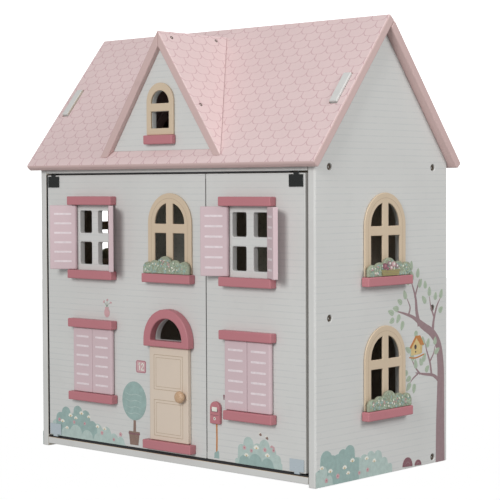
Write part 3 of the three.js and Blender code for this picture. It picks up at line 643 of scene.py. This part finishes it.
# ---- Shutters and the entrance door ----
def shutter(name, middle, sill, hand, angle):
    """A shutter with rounded edges and pale louvre strips on both faces, on its pin."""
    half = SHUTTER_T / 2
    bm = bmesh.new()
    outline = [(SHUTTER_W - half, -half), (SHUTTER_W - half, half), (0, half)]
    for a in range(105, 270, 15):
        outline.append((half * math.cos(math.radians(a)), half * math.sin(math.radians(a))))
    outline.append((0, -half))
    low = [bm.verts.new((x * MM, y * MM, 0)) for x, y in outline]
    high = [bm.verts.new((x * MM, y * MM, SHUTTER_H * MM)) for x, y in outline]
    closed(bm, low, high)
    bmesh.ops.recalc_face_normals(bm, faces=bm.faces)
    weigh(bm, 1.2, None)
    turn = Matrix.Rotation(-hand * math.radians(angle), 4, "Z")
    flip = Matrix.Rotation(math.pi, 4, "Z") if hand < 0 else Matrix.Identity(4)
    place = at(middle - hand * SHUTTER_PIN, -SHUTTER_OUT, sill + SHUTTER_PLAY)
    place = Matrix.Translation(place) @ turn @ flip
    bmesh.ops.transform(bm, matrix=place, verts=bm.verts)
    obj = finish_object(name + "_look", mesh_from(bm, name + "_look"), ["shutter"], name, SLOT_OF[name])
    round_edges(obj, 1.2)
    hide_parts(name)
    strips = bmesh.new()
    for row in range(LOUVRES):
        z = LOUVRE_FIRST + row * LOUVRE_PITCH
        line = slot_outline(LOUVRE_INSET, 35.0, z - LOUVRE_TALL / 2, z + LOUVRE_TALL / 2, 1.2)
        prism(strips, line, half - 0.1, half + 0.12)
        prism(strips, line, -half - 0.12, -half + 0.1)
    bmesh.ops.transform(strips, matrix=place, verts=strips.verts)
    object_from(strips, name + "_louvres", ["louvre"], name)


def shutters():
    for window, angles in REST_ANGLES.items():
        side, level = window.split("_")
        sill = UPPER_SILL if level == "upper" else LOWER_SILL
        for hand, letter, angle in ((1, "l", angles[0]), (-1, "r", angles[1])):
            shutter(window + "_shutter_" + letter, WINDOW_X[side], sill, hand, angle)
            x = WINDOW_X[side] - hand * SHUTTER_PIN
            pin(window + "_pin_" + letter, "door_" + side, x, sill - 4, sill + 110)


def pin(name, body, x, z0, z1):
    rod(name, body, at(x, -SHUTTER_OUT, (z0 + z1) / 2), 1.0, z1 - z0, slot="hinge_steel")


def ring(x0, x1, z0, z1, width):
    """The outlines of four bars that meet at the corners of a thin rectangular frame."""
    bars = ((x0, x1, z0, z0 + width), (x0, x1, z1 - width, z1),
            (x0, x0 + width, z0 + width, z1 - width), (x1 - width, x1, z0 + width, z1 - width))
    return [[(a0, b0), (a1, b0), (a1, b1), (a0, b1)] for a0, a1, b0, b1 in bars]


def entrance_door():
    soften("entrance_door", 1.2, ["door_cream"])
    low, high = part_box("entrance_door")
    face = (low[1] - ORIGIN.y) / MM
    lines = []
    for z0, z1 in ((45.5, 102.5), (118.0, 173.0)):
        lines += ring(277.5, 341.0, z0, z1, 0.9)
        lines += ring(282.0, 336.5, z0 + 4.5, z1 - 4.5, 0.7)
    flat_piece("entrance_panel_lines", "cream_line", "entrance_door", face - 0.06, face + 0.1, *lines)
    x = (low[0] - ORIGIN.x) / MM + SHUTTER_T / 2
    pin("entrance_pin", "door_left", x, 35.0, 190.0)


def knob():
    low, high = (Vector(v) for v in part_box("entrance_knob"))
    centre = (low + high) / 2
    radius = (high.x - low.x) / 2
    depth = high.y - low.y
    bm = bmesh.new()
    profile = [(0.0, 1.0), (0.60, 1.0), (0.58, 0.86), (0.60, 0.78), (0.80, 0.70), (0.95, 0.58), (1.0, 0.46),
               (0.985, 0.34), (0.93, 0.22), (0.82, 0.12), (0.64, 0.045), (0.4, 0.01), (0.0, 0.0)]
    steps = 48
    rings = []
    for share, level in profile:
        y, r = low.y + depth * level, radius * share
        turns = circle(steps) if share else [(0.0, 0.0)]
        rings.append([bm.verts.new((centre.x + r * c, y, centre.z + r * s)) for c, s in turns])
    for first, second in zip(rings, rings[1:]):
        for i in range(steps):
            j = (i + 1) % steps
            loop = [row[k % len(row)] for row, k in ((first, i), (first, j), (second, j), (second, i))]
            bm.faces.new(list(dict.fromkeys(loop)))
    obj = object_from(bm, "entrance_knob_look", ["knob"], "entrance_door", SLOT_OF["entrance_knob"], 60.0)
    smoothing = obj.modifiers.new("smoothing", "SUBSURF")
    smoothing.levels = smoothing.render_levels = 1
    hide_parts("entrance_knob")


# ---- Screws and small metal ----
def screw(name, body, place, radius):
    """A countersunk head with a hexagon socket; place takes +Z to the way the head faces."""
    bm = bmesh.new()
    steps = 24
    levels = [(1.0, -0.9), (1.0, -0.12), (0.93, 0.0), (0.52, 0.0), (0.46, -0.06)]
    rings = []
    for r, z in levels:
        rings.append([bm.verts.new((radius * r * c, radius * r * s, radius * z)) for c, s in circle(steps)])
    for depth in (-0.06, -0.7):
        hexagon = []
        for i, (c, s) in enumerate(circle(steps)):
            part = (math.tau * i / steps) % (math.pi / 3) - math.pi / 6
            r = radius * 0.36 / math.cos(part)
            hexagon.append(bm.verts.new((r * c, r * s, radius * depth)))
        rings.append(hexagon)
    for first, second in zip(rings, rings[1:]):
        band(bm, first, second)
    bm.faces.new(rings[-1])
    bm.faces.new(list(reversed(rings[0])))
    bmesh.ops.transform(bm, matrix=place, verts=bm.verts)
    object_from(bm, name, ["screw"], body)


def facing(normal):
    return Vector((0, 0, 1)).rotation_difference(Vector(normal)).to_matrix().to_4x4()


def screws():
    for side, x, out in (("left", 0.0, -1), ("right", WIDTH, 1)):
        for i, z in enumerate(SCREW_HEIGHTS):
            for j, y in enumerate((SCREW_FRONT, DEPTH - SCREW_BACK)):
                place = Matrix.Translation(at(x - out * 1.6, y, z)) @ facing((out, 0, 0))
                screw("wall_screw_%s_%d_%d" % (side, i, j), "carcass", place, 4.7 * MM)
    sine, cosine = math.sin(DORMER_PITCH), math.cos(DORMER_PITCH)
    for side in (-1, 1):
        for i, (down, y) in enumerate(((13.0, 13.0), (11.0, 114.0), (142.0, 2.0))):
            x = DORMER_X + side * down * cosine
            z = DORMER_APEX - down * sine
            normal = (side * sine, 0, cosine)
            place = Matrix.Translation(at(x, y, z) + Vector(normal) * 0.0003) @ facing(normal)
            screw("dormer_screw_%d_%d" % (side + 1, i), "roof_front", place, 2.9 * MM)


def small_metal():
    plates = (("catch_plate_left", "door_left", 365.0), ("catch_plate_right", "door_right", 386.5))
    for name, body, x in plates:
        flat_piece(name, "steel", body, 10.9, 12.1, slot_outline(x, x + 15.5, 445.0, 452.2, 1.5))
    hinge = next(joint for joint in frame["joints"] if joint["name"] == "roof_front_hinge")
    rod("ridge_hinge_pin", "carcass", hinge["pos_m"], 0.9, 422.0, Matrix.Rotation(math.pi / 2, 4, "Y"))


def painted_shade_strips():
    """Black sheets behind the front doors' ends, by the left door's hinge edge and where the doors meet: painted
    shade that makes the gaps read dark.
    """
    for name, x0, x1, z0, z1 in (
        ("painted_shade_bottom_long", 14.6, 585.4, 15.25, 17.6), ("painted_shade_bottom_short", 48.0, 552.0, 17.55, 18.9),
        ("painted_shade_top", 48.0, 552.0, 454.6, 456.55), ("painted_shade_left", 14.1, 15.0, 20.0, 454.0),
    ):
        flat_piece(name, "black_painted_shade", "carcass", 0.9, 9.8, slot_outline(x0, x1, z0, z1, 0.4))
    x = (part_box("door_left_board")[1][0] - ORIGIN.x) / MM
    strip = [(x - 0.1, 30.0), (x + 0.3, 30.0), (x + 0.3, 446.0), (x - 0.1, 446.0)]
    flat_piece("painted_shade_split", "black_painted_shade", "door_left", 1.8, 9.2, strip)


def arch_grooves():
    """A fine line round each arched frame, inside its outer edge."""
    inset, wide = 7.6, 0.7
    front = ("middle_upper_frame", "door_left", ENTRANCE_X, ARCH_WIDTH, UPPER_SILL, (1, 0, 0), (0, -1, 0))
    frames = [front]
    for side, out in (("left", -1), ("right", 1)):
        for level, sill in (("lower", LOWER_SILL), ("upper", UPPER_SILL)):
            node = "%s_wall_%s_frame" % (side, level)
            frames.append((node, "carcass", DEPTH / 2, SIDE_ARCH_WIDTH, sill, (0, 1, 0), (out, 0, 0)))
    for node, body, middle, width, sill, across, out in frames:
        low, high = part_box(node)
        if out[0]:
            origin = Vector((low[0] if out[0] < 0 else high[0], ORIGIN.y, 0))
        else:
            origin = Vector((ORIGIN.x, low[1], 0))
        sheet = Print(node + "_line", body, ["cream_line"], origin, across, out)
        spring = sill + ARCH_HEIGHT - width / 2
        outer, inner = [], []
        for r, line in ((width / 2 - inset, outer), (width / 2 - inset - wide, inner)):
            line.append((middle - r, sill + 1.0))
            for i in range(25):
                angle = math.pi * (1 - i / 24)
                line.append((middle + r * math.cos(angle), spring + r * math.sin(angle)))
            line.append((middle + r, sill + 1.0))
        sheet.shape(outer + inner[::-1], "cream_line")
        sheet.done()


# ---- Printed decoration: thin shapes on a flat face ----
UP = Vector((0, 0, 1))


class Print:
    """Shapes drawn on a face in millimetres; each lies a hair above the one before."""

    def __init__(self, name, body, looks, origin, across, out):
        self.name, self.body, self.looks = name, body, looks
        self.origin, self.across, self.out = origin, Vector(across), Vector(out)
        self.bm = bmesh.new()
        self.count = 0

    def shape(self, points, look):
        height = 0.05 + 0.004 * self.count
        self.count += 1
        apart = [p for i, p in enumerate(points) if (Vector(p) - Vector(points[i - 1])).length > 0.02]

        def corners(lift):
            places = [self.across * a + UP * b + self.out * lift for a, b in apart]
            return [self.bm.verts.new(self.origin + place * MM) for place in places]
        low, high = corners(-0.06), corners(height)
        before = len(self.bm.faces)
        closed(self.bm, low, high)
        self.bm.faces.ensure_lookup_table()
        for face in self.bm.faces[before:]:
            face.material_index = self.looks.index(look)

    def turned(self, a, b, points, tilt, look):
        """A shape given about its own middle, tilted and set at (a, b)."""
        c, s = math.cos(math.radians(tilt)), math.sin(math.radians(tilt))
        self.shape([(a + x * c - y * s, b + x * s + y * c) for x, y in points], look)

    def ellipse(self, a, b, ra, rb, look, tilt=0.0, steps=20):
        self.turned(a, b, [(ra * c, rb * s) for c, s in circle(steps)], tilt, look)

    def leaf(self, a, b, length, width, look, tilt):
        points = [(length / 2 * c, width / 2 * s * (1 - 0.35 * c)) for c, s in circle(18)]
        self.turned(a, b, points, tilt, look)

    def ribbon(self, line, widths, look):
        """A tapering band along a smooth line."""
        points = smooth_line(line)
        count = len(points)
        left, right = [], []
        for i, point in enumerate(points):
            before, after = points[max(0, i - 1)], points[min(count - 1, i + 1)]
            direction = (Vector(after) - Vector(before)).normalized()
            normal = Vector((-direction.y, direction.x))
            share = i / (count - 1) * (len(widths) - 1)
            k = min(int(share), len(widths) - 2)
            width = widths[k] + (widths[k + 1] - widths[k]) * (share - k)
            left.append(tuple(Vector(point) + normal * width / 2))
            right.append(tuple(Vector(point) - normal * width / 2))
        self.shape(left + right[::-1], look)

    def bush(self, lobes, base, left, right, look):
        """An outline of round-headed lobes (middle, width, top) over a level base."""
        steps = 90
        points = []
        for i in range(steps + 1):
            a = left + (right - left) * i / steps
            best = base + 1.5
            for middle, width, top in lobes:
                r = width / 2
                off = abs(a - middle)
                if off < r:
                    best = max(best, top - r + math.sqrt(r * r - off * off))
            points.append((a, best))
        self.shape([(left, base)] + points + [(right, base)], look)

    def flower(self, a, b, size, petal, heart):
        for i in range(5):
            angle = math.radians(90 + 72 * i)
            x, y = a + size * 0.55 * math.cos(angle), b + size * 0.55 * math.sin(angle)
            self.ellipse(x, y, size * 0.42, size * 0.42, petal, steps=10)
        self.ellipse(a, b, size * 0.32, size * 0.32, heart, steps=10)

    def half_flower(self, a, b, size):
        for tilt in (20, 55, 90, 125, 160):
            angle = math.radians(tilt)
            reach_a, reach_b = size * 0.62 * math.cos(angle), size * 0.52 * math.sin(angle)
            self.ellipse(a + reach_a, b + reach_b, size * 0.52, size * 0.3, "ink_white", tilt, 12)
        self.ellipse(a, b + size * 0.12, size * 0.34, size * 0.26, "ink_yellow", steps=10)

    def blooms(self, white, pink):
        """Half-open white flowers and then small pink ones, each as (a, b, size)."""
        for a, b, size in white:
            self.half_flower(a, b, size)
        for a, b, size in pink:
            self.flower(a, b, size, "ink_pink", "ink_rose")

    def done(self):
        finish_object(self.name, mesh_from(self.bm, self.name), self.looks, self.body, smooth=False)


def smooth_line(line):
    """Catmull-Rom points through a few given points."""
    steps = 6
    points = [Vector(p) for p in line]
    ends = [points[0] * 2 - points[1]] + points + [points[-1] * 2 - points[-2]]
    result = []
    for i in range(1, len(ends) - 2):
        p0, p1, p2, p3 = ends[i - 1:i + 3]
        for k in range(steps):
            t = k / steps
            result.append(tuple(0.5 * (2 * p1 + (p2 - p0) * t + (2 * p0 - 5 * p1 + 4 * p2 - p3) * t * t
                                       + (3 * p1 - p0 - 3 * p2 + p3) * t ** 3)))
    result.append(tuple(points[-1]))
    return result


def front_sheet(name, body, face=0.0):
    """A sheet on a front face, which lies face millimetres behind the walls' front edge."""
    return Print(name, body, INKS, at(0, face, 0), (1, 0, 0), (0, -1, 0))


def front_prints():
    base = 19.9
    left = front_sheet("left_door_print", "door_left")
    lobes = [(36, 24, 47), (52, 20, 56), (137, 24, 49), (158, 22, 46), (176, 20, 37), (192, 18, 33)]
    left.bush(lobes, base, 24, 204, "ink_teal_pale")
    lobes = [(46, 22, 60), (60, 22, 70), (76, 20, 60), (89, 22, 74), (108, 22, 68), (124, 24, 52)]
    left.bush(lobes, base, 34, 138, "ink_teal")
    lobes = [(60, 26, 36), (84, 30, 42), (112, 28, 36), (140, 26, 34), (168, 30, 30)]
    left.bush(lobes, base, 44, 186, "ink_teal_pale")
    left.blooms(
        ((71, 55, 5.0), (98, 61, 5.0), (84, 52, 4.2), (51, 44, 4.6),
         (137, 43, 4.2), (154, 41, 4.6), (116, 57, 4.0), (62, 34, 4.0)),
        ((43, 47, 3.4), (80, 46, 3.2), (148, 35, 3.6), (192, 37, 3.8), (106, 46, 3.0), (176, 27, 3.0)),
    )
    topiary(left)
    number_plate(left)
    vase(left)
    left.done()
    right = front_sheet("right_door_print", "door_right")
    right.ribbon([(405.2, 77), (405.4, 52), (405.0, 30)], [3.4, 3.2, 3.4], "ink_orange")
    right.bush([(403, 6, 32), (407, 6, 34)], 22.5, 399.5, 410.5, "ink_teal")
    lobes = [(447, 9, 28), (456, 14, 50), (470, 20, 62), (488, 18, 54), (502, 20, 61), (517, 16, 51),
             (527, 15, 41), (533, 10, 30)]
    right.bush(lobes, base, 443, 537, "ink_teal_pale")
    right.bush([(462, 22, 34), (484, 26, 38), (508, 24, 34)], base, 450, 522, "ink_teal")
    right.blooms(
        ((486, 46, 5.2), (466, 33, 4.4), (508, 37, 4.6)),
        ((462, 45, 3.6), (476, 42, 3.2), (503, 46, 3.8), (520, 47, 3.2)),
    )
    for a, b in ((494, 68), (507, 64)):
        right.ellipse(a, b, 3.0, 2.0, "ink_brown", -35)
        right.ellipse(a - 1.5, b + 2.0, 2.2, 1.2, "ink_white", 30)
    right.ellipse(516, 52, 2.6, 1.7, "ink_pink", 40)
    right.ellipse(520, 51, 2.6, 1.7, "ink_pink", -30)
    right.done()


def topiary(sheet):
    sheet.ribbon([(224.5, 74), (225.2, 56), (224.6, 42)], [4.5, 5.5, 6.0], "ink_brown")
    sheet.shape([(214.5, 23.5), (233.0, 23.5), (236.5, 45.0), (211.5, 45.0)], "ink_brown")
    sheet.ribbon([(211.0, 41.6), (224.0, 41.2), (237.0, 41.6)], [2.0, 2.0, 2.0], "ink_maroon")
    sheet.ellipse(224.5, 94.0, 27.5, 31.0, "ink_teal", steps=40)
    for b in (76, 86, 96, 106):
        line = [(205, b), (216, b - 3), (228, b - 1), (242, b - 4)]
        sheet.ribbon(line, [0.4, 1.0, 1.0, 0.4], "ink_teal_pale")


def number_plate(sheet):
    sheet.shape(slot_outline(229.5, 251.5, 140.0, 159.5, 3.0), "ink_rose")
    sheet.shape(slot_outline(231.0, 250.0, 141.5, 158.0, 2.2), "ink_pink")
    one = [(234.5, 152.6), (237.4, 155.4), (237.4, 150.5), (237.4, 144.4)]
    sheet.ribbon(one, [1.8, 1.8], "ink_white")
    two = [(241.2, 152.2), (243.6, 155.0), (246.4, 152.6), (243.8, 148.4), (241.2, 144.9), (247.4, 144.9)]
    sheet.ribbon(two, [1.6, 1.8, 1.8, 1.8, 1.8, 1.6], "ink_white")


def vase(sheet):
    sheet.ellipse(162.0, 231.5, 6.4, 7.6, "ink_pink")
    sheet.shape([(158.8, 236.0), (165.2, 236.0), (166.4, 240.5), (157.6, 240.5)], "ink_pink")
    for tip, lean in (((155, 249), -3), ((163, 252), 0), ((171, 248), 3)):
        sheet.ribbon([(162, 240), (162 + lean, 245), tip], [0.7, 0.6, 0.5], "ink_leaf_dark")
        sheet.ellipse(tip[0], tip[1], 2.4, 1.6, "ink_pink", 30 - lean * 10, 10)


TRUNK = [
    ((305, 0), 24), ((305, 60), 22), ((306, 110), 19), ((306, 150), 17), ((300, 184), 15),
    ((284, 204), 14), ((262, 216), 12), ((248, 224), 10),
]
BRANCHES = [
    ([(252, 222), (234, 232), (216, 238), (192, 244)], [8, 5.5, 4, 1.6]),
    ([(250, 218), (243, 240), (240, 262), (229, 288)], [9, 7, 5, 1.6]),
    ([(238, 262), (244, 276), (250, 290)], [4, 3, 1.2]),
    ([(222, 236), (226, 248), (218, 262)], [4, 3, 1.2]),
    ([(284, 204), (288, 226), (296, 246), (305, 258)], [7, 5, 3.4, 1.4]),
    ([(289, 228), (280, 246), (276, 262)], [4, 3, 1.2]),
    ([(303, 128), (286, 138), (262, 142), (240, 146)], [7, 5, 4, 1.6]),
    ([(282, 138), (278, 158), (270, 176), (264, 192)], [5, 4, 3, 1.2]),
    ([(277, 160), (287, 172), (291, 184)], [3.4, 2.6, 1.2]),
    ([(252, 143), (240, 154), (230, 168)], [3.6, 2.8, 1.2]),
    ([(246, 144), (234, 138), (224, 130)], [3.0, 2.4, 1.0]),
]
LEAVES = [
    (265, 281, 95), (246, 300, 80), (231, 296, 100), (220, 288, 130), (229, 312, 85),
    (252, 284, 60), (200, 258, 150), (190, 248, 170), (178, 243, 160), (180, 230, 205),
    (196, 232, 240), (206, 221, 250), (241, 205, 265), (213, 268, 110), (276, 270, 90),
    (292, 262, 80), (307, 265, 70), (262, 258, 130), (306, 240, 40), (221, 183, 150),
    (231, 172, 120), (244, 182, 95), (259, 194, 100), (272, 190, 70), (291, 192, 80),
    (296, 176, 30), (213, 148, 175), (222, 138, 200), (222, 126, 230), (236, 122, 260),
    (254, 162, 120), (262, 168, 60), (240, 160, 100), (270, 150, 45), (208, 160, 150),
]


def side_prints():
    for side, x, out in (("right", WIDTH, 1), ("left", 0.0, -1)):
        sheet = Print(side + "_wall_print", "carcass", INKS, at(x, 0, 0), (0, 1, 0), (out, 0, 0))
        tree(sheet)
        birdhouse(sheet)
        wall_bushes(sheet)
        stones(sheet)
        sheet.done()


def tree(sheet):
    sheet.ribbon([p for p, _ in TRUNK], [w for _, w in TRUNK], "ink_trunk")
    for line, widths in BRANCHES:
        sheet.ribbon(line, widths, "ink_trunk")
    for i, (a, b, tilt) in enumerate(LEAVES):
        length = 15.0 if i % 3 else 12.5
        sheet.leaf(a, b, length, 8.6, "ink_leaf", tilt)
        turn = math.radians(tilt)
        dx, dy = math.cos(turn) * length * 0.42, math.sin(turn) * length * 0.42
        sheet.ribbon([(a - dx, b - dy), (a + dx, b + dy)], [0.5, 0.3], "ink_leaf_dark")


def birdhouse(sheet):
    def near(*points):
        return [(241.5 + 0.85 * (a - 241.5), 187 + 0.85 * (b - 187)) for a, b in points]
    sheet.shape(near((226, 171), (252, 172), (254, 190), (240, 203), (227, 188)), "ink_body")
    sheet.shape(near((252, 172), (259, 174), (260, 190), (254, 190)), "ink_yellow")
    sheet.shape(near((222, 186), (240, 206), (243, 202), (226, 183)), "ink_orange")
    sheet.shape(near((240, 206), (254, 206), (266, 188), (254, 188), (243, 202)), "ink_orange")
    sheet.ribbon(near((221, 168), (240, 166), (266, 171)), [1.9, 2.1, 1.9], "ink_orange")
    sheet.ellipse(239.5, 186, 3.1, 3.8, "ink_dark")
    sheet.ellipse(240, 178.5, 1.5, 1.5, "ink_dark")


def wall_bushes(sheet):
    lobes = [(96, 20, 34), (112, 20, 36), (128, 18, 39), (145, 20, 38), (160, 18, 26), (174, 14, 15)]
    sheet.bush(lobes, 0.6, 88, 180, "ink_teal_pale")
    lobes = [(10, 24, 26), (24, 26, 52), (38, 20, 44), (50, 20, 44), (62, 22, 50), (78, 24, 54), (92, 20, 34)]
    sheet.bush(lobes, 0.6, 1.5, 100, "ink_teal")
    sheet.bush([(4, 14, 24), (17, 18, 30), (30, 16, 16)], 0.6, 0.9, 40, "ink_teal_pale")
    sheet.blooms(
        ((33, 20, 5.0), (66, 21, 5.0), (84, 29, 5.2), (14, 27, 4.6),
         (74, 12, 4.4), (136, 22, 4.6), (118, 28, 4.6)),
        ((50, 12, 4.2), (24, 9, 3.8), (120, 12, 3.6), (100, 10, 3.2)),
    )


def stones(sheet):
    for a, r, h in ((219, 12.5, 17), (246, 8.5, 10)):
        turns = [math.radians(t) for t in range(4, 177, 8)]
        sheet.shape([(a + r * math.cos(t), 0.6 + h * math.sin(t) ** 0.8) for t in turns], "ink_maroon")
        shine = [(a - r * 0.6, h * 0.35), (a, h * 0.62), (a + r * 0.5, h * 0.4)]
        sheet.ribbon(shine, [0.5, 1.2, 0.5], "ink_trunk")


# ---- Plant boards ----
PLANT_LOBES = ((-0.4, 8, 10), (-0.24, 8, 13), (-0.02, 10.5, 17), (0.2, 9, 13), (0.39, 9, 11))


def plant_height(x, length):
    """Height of a plant board above its lower edge, x from its middle."""
    best = 0.0
    for share, rise, r in PLANT_LOBES:
        off = abs(x - share * length) / r
        best = max(best, rise + (r * math.sqrt(1 - off * off) if off < 1 else 0.0))
    return best


def plant_print(name, body, origin, across, out, length, basket):
    sheet = Print(name, body, INKS, origin, across, out)
    pick = random.Random(name)
    reach = length / 2 - 3.5
    for _ in range(210):
        a = pick.uniform(-reach, reach)
        b = pick.uniform(1.8, max(3.0, plant_height(a, length) - 2.4))
        look = pick.choice(("ink_leaf", "ink_leaf", "ink_leaf_dark", "ink_teal"))
        sheet.leaf(a, b, pick.uniform(3.4, 5.6), pick.uniform(1.5, 2.2), look, pick.uniform(0, 360))
    for _ in range(26):
        a = pick.uniform(-reach + 2, reach - 2)
        b = pick.uniform(3.5, max(4.5, plant_height(a, length) - 4.0))
        sheet.flower(a, b, 1.3, "ink_white" if pick.random() < 0.6 else "ink_pink", "ink_yellow")
    if basket:
        window_basket(sheet)
    sheet.done()


def window_basket(sheet):
    """A low woven basket with a few round blooms."""
    sheet.shape([(-20, 1.0), (18, 1.0), (21, 9.5), (-23, 9.5)], "ink_olive")
    for b in (3.4, 5.8, 8.2):
        sheet.ribbon([(-22, b), (0, b - 0.3), (20, b)], [0.5, 0.6, 0.5], "ink_brown")
    blooms = ((-15, 15, 5.6, "ink_maroon"), (-4, 18.5, 4.4, "ink_trunk"), (6, 17.5, 4.4, "ink_pink"),
              (14, 14.5, 4.0, "ink_trunk"), (0, 12.5, 3.4, "ink_pink"), (-9, 11.5, 3.2, "ink_maroon"))
    for a, b, size, look in blooms:
        sheet.ellipse(a, b, size, size * 0.88, look)
        heart = "ink_rose" if look == "ink_maroon" else "ink_white"
        sheet.ellipse(a + 0.8, b + 0.6, size * 0.45, size * 0.4, heart)


def plant_prints():
    front = at(ENTRANCE_X, -PLANT_OUT, UPPER_SILL + 0.3)
    plant_print("middle_upper_plant_print", "door_left", front, (1, 0, 0), (0, -1, 0), PLANT_LENGTH, False)
    for side, x, out in (("right", WIDTH + PLANT_OUT, 1), ("left", -PLANT_OUT, -1)):
        for level, sill in (("lower", LOWER_SILL), ("upper", UPPER_SILL)):
            name = "%s_wall_%s_plant_print" % (side, level)
            origin = at(x, DEPTH / 2, sill + 0.3)
            basket = level == "upper"
            plant_print(name, "carcass", origin, (0, 1, 0), (out, 0, 0), SIDE_PLANT_LENGTH, basket)


# ---- Mailbox ----
def mailbox():
    low, high = (Vector(v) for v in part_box("mailbox"))
    middle = ((low.x + high.x) / 2 - ORIGIN.x) / MM
    bottom = low.z / MM
    sheet = front_sheet("mailbox_print", "door_right", (low.y - ORIGIN.y) / MM)
    sheet.shape(slot_outline(middle - 7.5, middle + 7.5, bottom + 18.0, bottom + 22.5, 1.4), "ink_maroon")
    left, right, under, over = middle - 5.5, middle + 5.0, bottom + 19.0, bottom + 25.5
    sheet.shape([(left, under), (right, under), (right, over), (left, over)], "ink_white")
    flap = bottom + 13.5
    line = [(middle - 8.5, flap), (middle, flap - 0.5), (middle + 8.5, flap)]
    sheet.ribbon(line, [0.6, 0.8, 0.6], "ink_maroon")
    for r, look in ((2.4, "ink_white"), (1.2, "ink_maroon")):
        sheet.ellipse(middle, bottom + 8.0, r, r, look)
    sheet.done()
    flag = front_sheet("mailbox_flag_print", "door_right")
    flag.ribbon([(420.5, 113), (420.6, 117), (420.4, 119)], [2.2, 2.6, 2.4], "ink_maroon")
    flag.ellipse(420.5, 119.0, 1.8, 1.8, "ink_maroon")
    flag.done()


# ---- Studio ----
def backdrop():
    """A white paper dish round the house: it shows behind it and sends no light onto it."""
    steps, floor_r, bend = 64, 5.0, 1.2
    rise = []
    for degrees in range(0, 91, 10):
        angle = math.radians(degrees)
        rise.append((floor_r + bend * math.sin(angle), bend - bend * math.cos(angle)))
    bm = bmesh.new()
    rows = []
    for radius, z in rise + [(floor_r + bend, 6.0)]:
        rows.append([bm.verts.new((radius * c, radius * s, z)) for c, s in circle(steps)])
    bm.faces.new(rows[0])
    for first, second in zip(rows, rows[1:]):
        band(bm, first, second)
    mesh = mesh_from(bm, "sweep")
    paper = bpy.data.objects.new("sweep", mesh)
    bpy.context.scene.collection.objects.link(paper)
    mesh.shade_smooth()
    shader = Shader("paper")
    shader.set("Base Color", (0.9, 0.9, 0.9, 1.0))
    shader.set("Roughness", 0.9)
    shader.set("Emission Color", (1.0, 1.0, 1.0, 1.0))
    shader.set("Emission Strength", 1.0)
    mesh.materials.append(shader.material)
    paper.visible_diffuse = False
    paper.visible_glossy = False


def studio():
    world = bpy.data.worlds.new("studio")
    bpy.context.scene.world = world
    world.use_nodes = True
    sky = world.node_tree.nodes["Background"].inputs
    sky[0].default_value = (0.98, 0.99, 1.0, 1.0)
    sky[1].default_value = 0.39
    backdrop()
    middle = (0, 0, 0.35)
    lamp("key", (1.1, -3.9, 1.7), middle, 1.4, 88.0)
    lamp("side", (3.6, 0.3, 2.4), middle, 1.6, 67.0)


def lamp(name, place, target, size, power):
    light = bpy.data.lights.new(name, "AREA")
    light.size = size
    light.energy = power
    obj = bpy.data.objects.new(name, light)
    bpy.context.scene.collection.objects.link(obj)
    obj.location = place
    obj.rotation_euler = (Vector(target) - Vector(place)).to_track_quat("-Z", "Y").to_euler()


def camera():
    azimuth, below, roll = math.radians(42.394), math.radians(2.309), math.radians(-0.2307)
    level = Vector((-math.sin(azimuth), math.cos(azimuth), 0.0))
    forward = level * math.cos(below) - UP * math.sin(below)
    right = Vector((math.cos(azimuth), math.sin(azimuth), 0.0))
    down = forward.cross(right)
    c, s = math.cos(roll), math.sin(roll)
    right, down = right * c - down * s, right * s + down * c
    data = bpy.data.cameras.new("camera")
    data.sensor_width = 36.0
    data.lens = 114.4
    data.clip_end = 50.0
    obj = bpy.data.objects.new("camera", data)
    bpy.context.scene.collection.objects.link(obj)
    matrix = Matrix((right, -down, -forward)).transposed().to_4x4()
    obj.matrix_world = Matrix.Translation(at(2056.8, -1732.9, 434.8)) @ matrix
    bpy.context.scene.camera = obj
    bpy.context.scene.view_settings.view_transform = "Standard"


side_walls()
inner_boards()
roof_boards()
front_boards()
trims()
shutters()
entrance_door()
knob()
screws()
small_metal()
painted_shade_strips()
arch_grooves()
front_prints()
side_prints()
plant_prints()
mailbox()
studio()
camera()
